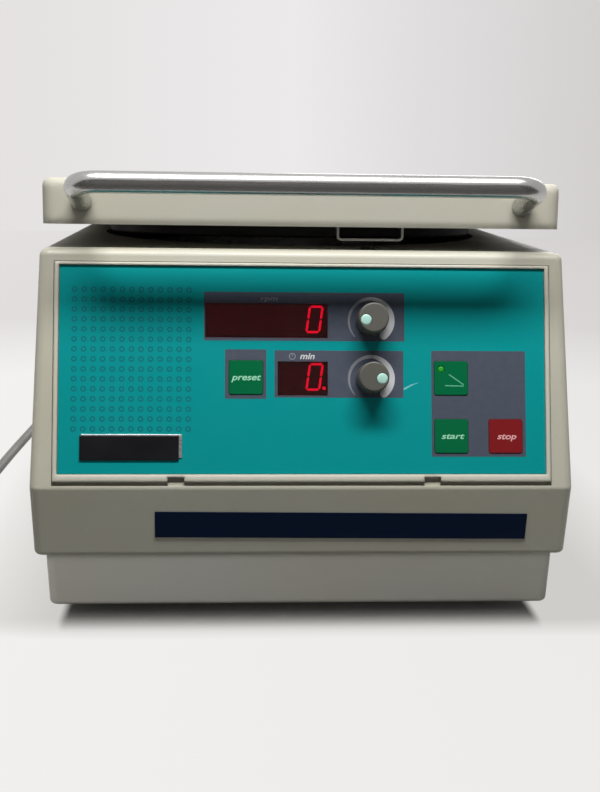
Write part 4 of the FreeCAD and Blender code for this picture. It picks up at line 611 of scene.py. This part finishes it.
def added(name, data, place, material, body):
    """New piece of the object, riding on a body."""
    piece = placed(name, data)
    piece.matrix_world = place
    data.materials.clear()
    data.materials.append(material)
    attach(piece, body)
    return piece


def flat(name, loops, n, material, body="housing", thick=INK_T):
    """Thin piece from closed loops of (u, v) points in mm; an inner loop is a hole."""
    curve = bpy.data.curves.new(name, "CURVE")
    curve.dimensions = "2D"
    curve.fill_mode = "BOTH"
    curve.extrude = thick / 2 * MM
    for loop in loops:
        spline = curve.splines.new("POLY")
        spline.points.add(len(loop) - 1)
        for point, (u, v) in zip(spline.points, loop):
            point.co = (u * MM, v * MM, 0, 1)
        spline.use_cyclic_u = True
    lift = Matrix.Translation((0, 0, (n + thick / 2) * MM))
    added(name, curve, PANEL @ lift, material, body)


def word(text, n, material, body="housing", bold=0.0):
    """Slanted word in a plain font, fitted to its width and to the height of its small letters."""
    (u, v), width, height = WORDS[text]
    font = bpy.data.curves.new("word_" + text, "FONT")
    font.body = text
    font.shear = WORD_SLANT
    font.offset = bold
    font.align_x = "CENTER"
    font.extrude = INK_T / 2 * MM / height
    piece = added("word_" + text, font, PANEL, material, body)
    bpy.context.view_layer.update()
    grow = Matrix.Diagonal((width * MM / piece.dimensions.x, height * MM / SMALL_LETTER, height, 1))
    foot = Matrix.Translation((u * MM, (v - height / 2) * MM, (n + INK_T / 2) * MM))
    piece.matrix_world = PANEL @ foot @ grow


def on_circle(centre, radius, angle):
    """Point of a circle, at an angle in radians."""
    return (centre[0] + radius * math.cos(angle), centre[1] + radius * math.sin(angle))


def circle(centre, radius, steps=CIRCLE_STEPS):
    return [on_circle(centre, radius, 2 * math.pi * i / steps) for i in range(steps)]


def rectangle(box, corner=0.0):
    """Loop round a box (u0, u1, v0, v1), with round corners."""
    u0, u1, v0, v1 = box
    if corner == 0.0:
        return [(u0, v0), (u1, v0), (u1, v1), (u0, v1)]
    loop = []
    middles = [(u1 - corner, v1 - corner), (u0 + corner, v1 - corner),
               (u0 + corner, v0 + corner), (u1 - corner, v0 + corner)]
    for quarter, middle in enumerate(middles):
        for i in range(CORNER_STEPS + 1):
            angle = math.radians(90 * quarter + 90 * i / CORNER_STEPS)
            loop.append(on_circle(middle, corner, angle))
    return loop


def grown(box, by):
    return (box[0] - by, box[1] + by, box[2] - by, box[3] + by)


def key_box(name):
    u, v = KEYS[name]
    return (u - KEY_HALF, u + KEY_HALF, v - KEY_HALF, v + KEY_HALF)


def make_fields():
    """Grey fields round the windows, knobs and keys."""
    displays = (("field_speed", SPEED_FIELD, SPEED_WINDOW, SPEED_KNOB),
                ("field_timer", TIMER_FIELD, TIMER_WINDOW, TIMER_KNOB))
    for name, field, window, knob in displays:
        holes = [rectangle(grown(window, WINDOW_ROOM)), circle(knob, SHAFT_HOLE_R)]
        flat(name, [rectangle(field, FIELD_CORNER)] + holes, 0, FIELD_INK)
    keypads = (("field_preset", PRESET_FIELD, ("preset",)),
               ("field_keypad", KEYPAD_FIELD, ("lid", "start", "stop")))
    for name, field, keys in keypads:
        holes = [rectangle(key_box(key), KEY_CORNER) for key in keys]
        flat(name, [rectangle(field, FIELD_CORNER)] + holes, 0, FIELD_INK)


def crescent_width(angle):
    for (a0, w0), (a1, w1) in zip(CRESCENT_WIDTHS, CRESCENT_WIDTHS[1:]):
        if a0 <= angle <= a1:
            return w0 + (w1 - w0) * (angle - a0) / (a1 - a0)
    return CRESCENT_WIDTHS[-1][1]


def crescent(centre):
    """Scale mark round a knob: thin at the lower left, swelling clockwise to a round end at the right."""
    first, end_width = CRESCENT_WIDTHS[0]
    last = CRESCENT_WIDTHS[-1][0]
    outer = []
    inner = []
    for i in range(CRESCENT_STEPS + 1):
        degrees = first + (last - first) * i / CRESCENT_STEPS
        angle = math.radians(degrees)
        outer.append(on_circle(centre, CRESCENT_R, angle))
        inner.append(on_circle(centre, CRESCENT_R - crescent_width(degrees), angle))
    half = end_width / 2
    turn = math.radians(first)
    end_middle = on_circle(centre, CRESCENT_R - half, turn)
    end = []
    for i in range(1, CRESCENT_END_STEPS):
        angle = turn - math.pi * (CRESCENT_END_STEPS - i) / CRESCENT_END_STEPS
        end.append(on_circle(end_middle, half, angle))
    return outer + inner[::-1] + end


def make_scales():
    """Scale marks on the fields, round the knobs."""
    for name, centre in (("speed", SPEED_KNOB), ("timer", TIMER_KNOB)):
        flat("scale_" + name, [crescent(centre)], INK_T, PALE_INK)


def make_grid():
    """Pattern of small rings at the panel's left."""
    loops = []
    for i in range(GRID_COLUMNS):
        for j in range(GRID_ROWS):
            centre = (GRID_FIRST[0] + i * GRID_PITCH[0], GRID_FIRST[1] + j * GRID_PITCH[1])
            loops += [circle(centre, radius, steps) for radius, steps in GRID_RING]
    flat("grid_rings", loops, 0, GRID_INK)


def make_words():
    """Units over the windows, and words on the keys."""
    word("rpm", INK_T, FAINT_INK)
    word("min", INK_T, WHITE_INK, bold=WORD_BOLD)
    key_words = (("preset", KEY_INK, "key_green"), ("start", KEY_INK, "key_green"),
                 ("stop", STOP_INK, "key_red"))
    for text, material, slot in key_words:
        word(text, KEY_TOP_N, material, text + "_button", WORD_BOLD)


def heading(first, last):
    """Length and direction of the way from one point to another."""
    du = last[0] - first[0]
    dv = last[1] - first[1]
    long = math.hypot(du, dv)
    return long, (du / long, dv / long)


def stroke(first, last, width):
    """Straight line of a given width, as a loop."""
    along = heading(first, last)[1]
    u = -along[1] * width / 2
    v = along[0] * width / 2
    return [(first[0] + u, first[1] + v), (first[0] - u, first[1] - v),
            (last[0] - u, last[1] - v), (last[0] + u, last[1] + v)]


def make_signs():
    """Open lid over a body on the lid key, a clock over the minutes window, and a small scratch."""
    for name, ends in (("sign_lid", LID_SIGN), ("sign_body", BODY_SIGN)):
        flat(name, [stroke(*ends, SIGN_STROKE)], KEY_TOP_N, SIGN_INK, "lid_button")
    flat("sign_clock", [circle(CLOCK_AT, radius) for radius in CLOCK_RING], INK_T, FAINT_INK)
    hand_end = (CLOCK_AT[0], CLOCK_AT[1] + CLOCK_HAND)
    flat("sign_clock_hand", [stroke(CLOCK_AT, hand_end, CLOCK_STROKE)], INK_T, FAINT_INK)
    flat("scratch", [SCRATCH_EDGE], 0, SCRATCH, thick=SCRATCH_T)


def segment(first, last, half, gap):
    """Six-sided bar between two corners of a digit."""
    long, along = heading(first, last)
    aside = (-along[1] * half, along[0] * half)
    near = gap + half
    far = long - gap - half
    loop = []
    for step, side in ((gap, 0), (near, 1), (far, 1), (long - gap, 0), (far, -1), (near, -1)):
        u = first[0] + along[0] * step + aside[0] * side
        v = first[1] + along[1] * step + aside[1] * side
        loop.append((u, v))
    return loop


def digit_zero(centre):
    """Loops of a slanted seven-segment zero."""
    half = DIGIT_STROKE / 2
    u = DIGIT_W / 2 - half
    v = DIGIT_H / 2 - half
    corners = [(-u, v), (u, v), (u, 0), (u, -v), (-u, -v), (-u, 0), (-u, v)]
    loops = []
    for first, last in zip(corners, corners[1:]):
        bar = segment(first, last, half, DIGIT_GAP)
        loops.append([(centre[0] + a + b * DIGIT_SLANT, centre[1] + b) for a, b in bar])
    return loops


def make_digits():
    """Lit zeros on the display modules, with a point after the minutes."""
    n = MODULE_N + DIGIT_LIFT
    point = circle(POINT_AT, POINT_R, POINT_STEPS)
    flat("digit_speed", digit_zero(SPEED_DIGIT), n, LED_RED)
    flat("digit_timer", digit_zero(TIMER_DIGIT) + [point], n, LED_RED)


def plate(name, box, thick, round_by, material, place):
    """Thin plate with rounded edges."""
    u0, u1, v0, v1 = box
    shape = bmesh.new()
    bmesh.ops.create_cube(shape, size=1.0)
    for vertex in shape.verts:
        vertex.co.x = (u0 if vertex.co.x < 0 else u1) * MM
        vertex.co.y = (v0 if vertex.co.y < 0 else v1) * MM
        vertex.co.z = (0 if vertex.co.z < 0 else thick) * MM
    piece = added(name, meshed(name, shape), place, material, "housing")
    bevel = piece.modifiers.new("round", "BEVEL")
    bevel.width = round_by * MM
    bevel.segments = ROUND_STEPS


def chin_place():
    """Face of the chin: local x across, y up the face, z out of it; y is 0 at the chin's foot."""
    up = Vector((0, -math.sin(CHIN_LEAN), math.cos(CHIN_LEAN)))
    across = Vector((1, 0, 0))
    place = Matrix((across, up, across.cross(up))).transposed().to_4x4()
    place.translation = Vector((0, CHIN_FOOT[0], CHIN_FOOT[1])) * MM
    return place


def make_plates():
    """Bare plate on the panel with its silver back, and bare strip on the chin."""
    plate("badge_back", BADGE_BACK, BADGE_BACK_T, BADGE_BACK_ROUND, PLATE_SILVER, PANEL)
    plate("badge_bare", BADGE, BADGE_T, BADGE_ROUND, PLATE_BLACK, PANEL)
    half_w = CHIN_STRIP[0] / 2
    half_h = CHIN_STRIP[1] / 2
    up = (CHIN_STRIP_AT[1] - CHIN_FOOT[1]) / math.cos(CHIN_LEAN)
    middle = Matrix.Translation((CHIN_STRIP_AT[0] * MM, up * MM, 0))
    turn = Matrix.Rotation(math.radians(CHIN_STRIP_TURN), 4, "Z")
    plate("chin_strip_bare", (-half_w, half_w, -half_h, half_h), CHIN_STRIP_T, CHIN_STRIP_ROUND, STRIP_NAVY,
          chin_place() @ middle @ turn)


def lathe(name, profile, steps):
    """Round mesh from (radius, height) points in mm, closed by a face at both ends."""
    shape = bmesh.new()
    rings = []
    for radius, height in profile:
        points = circle((0, 0), radius, steps)
        rings.append([shape.verts.new((x * MM, y * MM, height * MM)) for x, y in points])
    for low, high in zip(rings, rings[1:]):
        for i in range(steps):
            j = (i + 1) % steps
            shape.faces.new((low[i], low[j], high[j], high[i]))
    shape.faces.new(rings[0][::-1])
    shape.faces.new(rings[-1])
    for face in shape.faces:
        face.smooth = True
    return meshed(name, shape)


def make_dots():
    """Pale pointer dots set into the knobs' tops."""
    floor_n = KNOB_TOP_N - DOT_PIT
    for knob, centre, dot in (("speed", SPEED_KNOB, SPEED_DOT), ("timer", TIMER_KNOB, TIMER_DOT)):
        name = "dot_" + knob
        at = Matrix.Translation(((centre[0] + dot[0]) * MM, (centre[1] + dot[1]) * MM, floor_n * MM))
        dome = lathe(name, DOT_DOME, DOT_STEPS)
        added(name, dome, PANEL @ at, DOT_MINT, knob + "_control")


# Mains lead

def coil_points():
    """Points round the put-away coil: spiralling in, then out again one layer up."""
    angle = 2 * math.pi / COIL_STEPS
    # An order 3 spline runs inside the circle of its points, and the swell makes up for that
    swell = 8 / (6 + 2 * math.cos(angle))
    last = CORD_ROUTE[-1]
    outer = COIL_R_IN + COIL_PITCH * COIL_TURNS
    middle = (last[0] - outer, last[1] - CORD_D)
    points = []
    for i in range(1, int(2 * COIL_TURNS * COIL_STEPS)):
        turn = i / COIL_STEPS
        radius = (COIL_R_IN + COIL_PITCH * abs(turn - COIL_TURNS)) * swell
        climb = min(max((turn - COIL_TURNS) / COIL_CLIMB_TURNS + 0.5, 0.0), 1.0)
        height = last[2] + COIL_RISE * climb * climb * (3 - 2 * climb)
        points.append((*on_circle(middle, radius, -turn * 2 * math.pi), height))
    top = last[2] + COIL_RISE
    points.append((last[0], middle[1], top))
    points.append((last[0], middle[1] - COIL_TAIL, top))
    return points


def make_lead():
    """One smooth lead from the connector, past the casing, into the coil and to the plug."""
    curve = bpy.data.curves.new("mains_lead", "CURVE")
    curve.dimensions = "3D"
    curve.bevel_depth = CORD_D / 2 * MM
    curve.bevel_resolution = CORD_ROUNDNESS
    curve.resolution_u = CORD_FINENESS
    curve.use_fill_caps = True
    spline = curve.splines.new("NURBS")
    route = CORD_ROUTE + coil_points()
    spline.points.add(len(route) - 1)
    for point, (x, y, z) in zip(spline.points, route):
        point.co = (x * MM, (y + SHIFT_Y) * MM, z * MM, 1)
    spline.order_u = 3
    spline.use_endpoint_u = True
    lead = added("mains_lead", curve, Matrix.Identity(4), FINISHES["lead_grey"], "housing")
    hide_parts("mains_cord", "mains_coil")
    x, y, z = CORD_ROUTE[0]


# Camera, floor and light

def make_camera():
    data = bpy.data.cameras.new("camera")
    data.lens = LENS
    data.sensor_width = SENSOR
    camera = placed("camera", data)
    turns = ((CAMERA_YAW, "Z"), (90 - CAMERA_PITCH, "X"), (CAMERA_ROLL, "Z"))
    place = Matrix.Translation(CAMERA_AT)
    for angle, axis in turns:
        place = place @ Matrix.Rotation(math.radians(angle), 4, axis)
    camera.matrix_world = place
    bpy.context.scene.camera = camera


def seen_rays(tree):
    """1 where the camera, a glossy or a transmission ray looks, 0 for light that is bounced about."""
    rays = tree.nodes.new("ShaderNodeLightPath")
    total = rays.outputs["Is Camera Ray"]
    for name in ("Is Glossy Ray", "Is Transmission Ray"):
        either = tree.nodes.new("ShaderNodeMath")
        either.operation = "MAXIMUM"
        tree.links.new(total, either.inputs[0])
        tree.links.new(rays.outputs[name], either.inputs[1])
        total = either.outputs[0]
    return total


def footprint_distance(finish, ways, shift=0.0):
    """Way from the base to a point of the floor, zero under the base and weighed along each axis."""
    low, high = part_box(BASE)
    middle = (low + high) / 2 + Vector((shift, 0, 0))
    half = (high - low) / 2
    half.x -= FLOOR_FADE_INSET
    half.z = high.z
    folded = finish.vector("ABSOLUTE", finish.vector("SUBTRACT", finish.place, middle))
    beyond = finish.vector("MAXIMUM", finish.vector("SUBTRACT", folded, half), (0, 0, 0))
    return finish.vector("LENGTH", finish.vector("MULTIPLY", beyond, ways))


def make_floor():
    """Pale floor with the shadow near the object, fading into the pale surroundings with distance, which hold a
    painted shadow round the base and darken towards the right.
    """
    mesh = lathe("floor", FLOOR_PROFILE, FLOOR_STEPS)
    floor = placed("floor", mesh)
    finish = Finish("floor", Roughness=0.7)
    seen = seen_rays(finish.tree)
    clouds = finish.span(finish.noise(CLOUD_SIZE, 3), NOISE)
    paper = finish.mix(clouds, FLOOR_PAPER, dimmed(FLOOR_PAPER, 0.96))
    finish.drive("Base Color", finish.mix(seen, FLOOR_BOUNCE, paper))
    across = finish.along("X")
    # Painted falloff of the light: the floor's seen colour darkens from left to right
    lit_near = finish.mix(finish.span(across, FLOOR_NEAR_X), tone(*FLOOR_LEFT), tone(*FLOOR_SHADED_RIGHT))
    # Painted shadow: the seen colour darkens towards the base
    beside = footprint_distance(finish, FLOOR_SHADE_WAYS, FLOOR_SHADE_SHIFT)
    near = finish.mix(finish.span(beside, FLOOR_SHADE_AT, (1.0, 0.0)), lit_near, tone(*FLOOR_SHADE))
    far = finish.mix(finish.span(across, FLOOR_FAR_X), tone(*FLOOR_FAR_LEFT), tone(*FLOOR_FAR_SHADED_RIGHT))
    away = finish.span(finish.vector("LENGTH", finish.place), FLOOR_FAR_FROM)
    pale = finish.add("ShaderNodeEmission")
    finish.join(finish.mix(away, near, far), pale.inputs["Color"])
    fade = finish.span(footprint_distance(finish, FLOOR_FADE_WAYS), FLOOR_FADE, way="SMOOTHSTEP")
    blend = finish.add("ShaderNodeMixShader")
    finish.join(finish.times(fade, seen), blend.inputs[0])
    finish.join(finish.shader.outputs[0], blend.inputs[1])
    finish.join(pale.outputs[0], blend.inputs[2])
    finish.join(blend.outputs[0], finish.tree.nodes["Material Output"].inputs["Surface"])
    mesh.materials.append(finish.material)
    return floor


def make_card():
    """Dark folded card on the floor in front of the object and over the camera, which only gloss shows: a painted
    dark reflection, its floor strip standing in for the shaded floor.
    """
    half = CARD_W / 2
    shape = bmesh.new()
    folds = [(shape.verts.new((-half, *edge)), shape.verts.new((half, *edge))) for edge in CARD_EDGES]
    for (left, right), (next_left, next_right) in zip(folds, folds[1:]):
        shape.faces.new((left, right, next_right, next_left))
    mesh = meshed("dark_card", shape)
    mesh.materials.append(ink("card_reflected_shade", tone(*CARD_TONE), rough=0.8))
    card = placed("dark_card", mesh)
    for ray in ("camera", "diffuse", "shadow", "transmission", "volume_scatter"):
        setattr(card, "visible_" + ray, False)


def lamp(name, at, aim, size, power):
    data = bpy.data.lights.new(name, "AREA")
    data.shape = "RECTANGLE"
    data.size = size[0]
    data.size_y = size[1]
    data.energy = power
    light = placed(name, data)
    way = Vector(aim) - Vector(at)
    light.matrix_world = Matrix.Translation(at) @ way.to_track_quat("-Z", "Y").to_matrix().to_4x4()
    return light


def reach(light, state, *pieces):
    """Let a light reach only these pieces, or all but these."""
    group = bpy.data.collections.new(light.name + "_group")
    for piece in pieces:
        group.objects.link(piece)
    light.light_linking.receiver_collection = group
    for item in group.collection_objects:
        item.light_linking.link_state = state


def make_lamps(floor):
    """Key lamp kept off the floor and the base, a lamp for each of these two, and one behind."""
    base = nodes[BASE]
    reach(lamp("key", *KEY), "EXCLUDE", floor, base)
    reach(lamp("over", *OVER), "INCLUDE", floor)
    reach(lamp("fill", *FILL), "INCLUDE", base)
    lamp("back", *BACK)


def share_between(tree, source, low, high):
    """Value from 0 to 1 as the source runs from low to high."""
    node = tree.nodes.new("ShaderNodeMapRange")
    node.inputs["From Min"].default_value = low
    node.inputs["From Max"].default_value = high
    tree.links.new(source, node.inputs["Value"])
    return node.outputs["Result"]


def ramp(tree, source, stops):
    """Colour that runs through stops of (position from 0 to 1, colour)."""
    node = tree.nodes.new("ShaderNodeValToRGB")
    elements = node.color_ramp.elements
    for position, colour in stops[1:-1]:
        elements.new(position).color = colour
    for element, (position, colour) in ((elements[0], stops[0]), (elements[-1], stops[-1])):
        element.position = position
        element.color = colour
    tree.links.new(source, node.inputs[0])
    return node.outputs["Color"]


def make_world():
    """Pale surroundings where they are seen; their light is bright above and behind, dim in front."""
    world = bpy.data.worlds.new("studio")
    bpy.context.scene.world = world
    world.use_nodes = True
    tree = world.node_tree
    place = tree.nodes.new("ShaderNodeTexCoord").outputs["Generated"]
    tilt = tree.nodes.new("ShaderNodeVectorMath")
    tilt.operation = "DOT_PRODUCT"
    tilt.inputs[1].default_value = ROOM_UP
    tree.links.new(place, tilt.inputs[0])
    room_stops = [(at, (level, level, level, 1.0)) for at, level in ROOM_LEVELS]
    room = ramp(tree, share_between(tree, tilt.outputs["Value"], -1.0, 1.0), room_stops)
    parts = tree.nodes.new("ShaderNodeSeparateXYZ")
    tree.links.new(place, parts.inputs[0])
    # Painted falloff of the light: the seen backdrop darkens towards the right
    left = BACKDROP[0][0]
    right = BACKDROP[-1][0]
    pale_stops = [((at - left) / (right - left), tone(*grey)) for at, grey in BACKDROP]
    pale = ramp(tree, share_between(tree, parts.outputs["X"], left, right), pale_stops)
    final = tree.nodes.new("ShaderNodeMix")
    final.data_type = "RGBA"
    tree.links.new(seen_rays(tree), final.inputs[0])
    tree.links.new(room, final.inputs[MIX_FIRST])
    tree.links.new(pale, final.inputs[MIX_SECOND])
    tree.links.new(final.outputs[MIX_RESULT], tree.nodes["Background"].inputs["Color"])


make_camera()
make_lead()
make_fields()
make_scales()
make_grid()
make_words()
make_signs()
make_digits()
make_plates()
make_dots()
make_lamps(make_floor())
make_card()
make_world()
bpy.context.scene.view_settings.view_transform = "Standard"
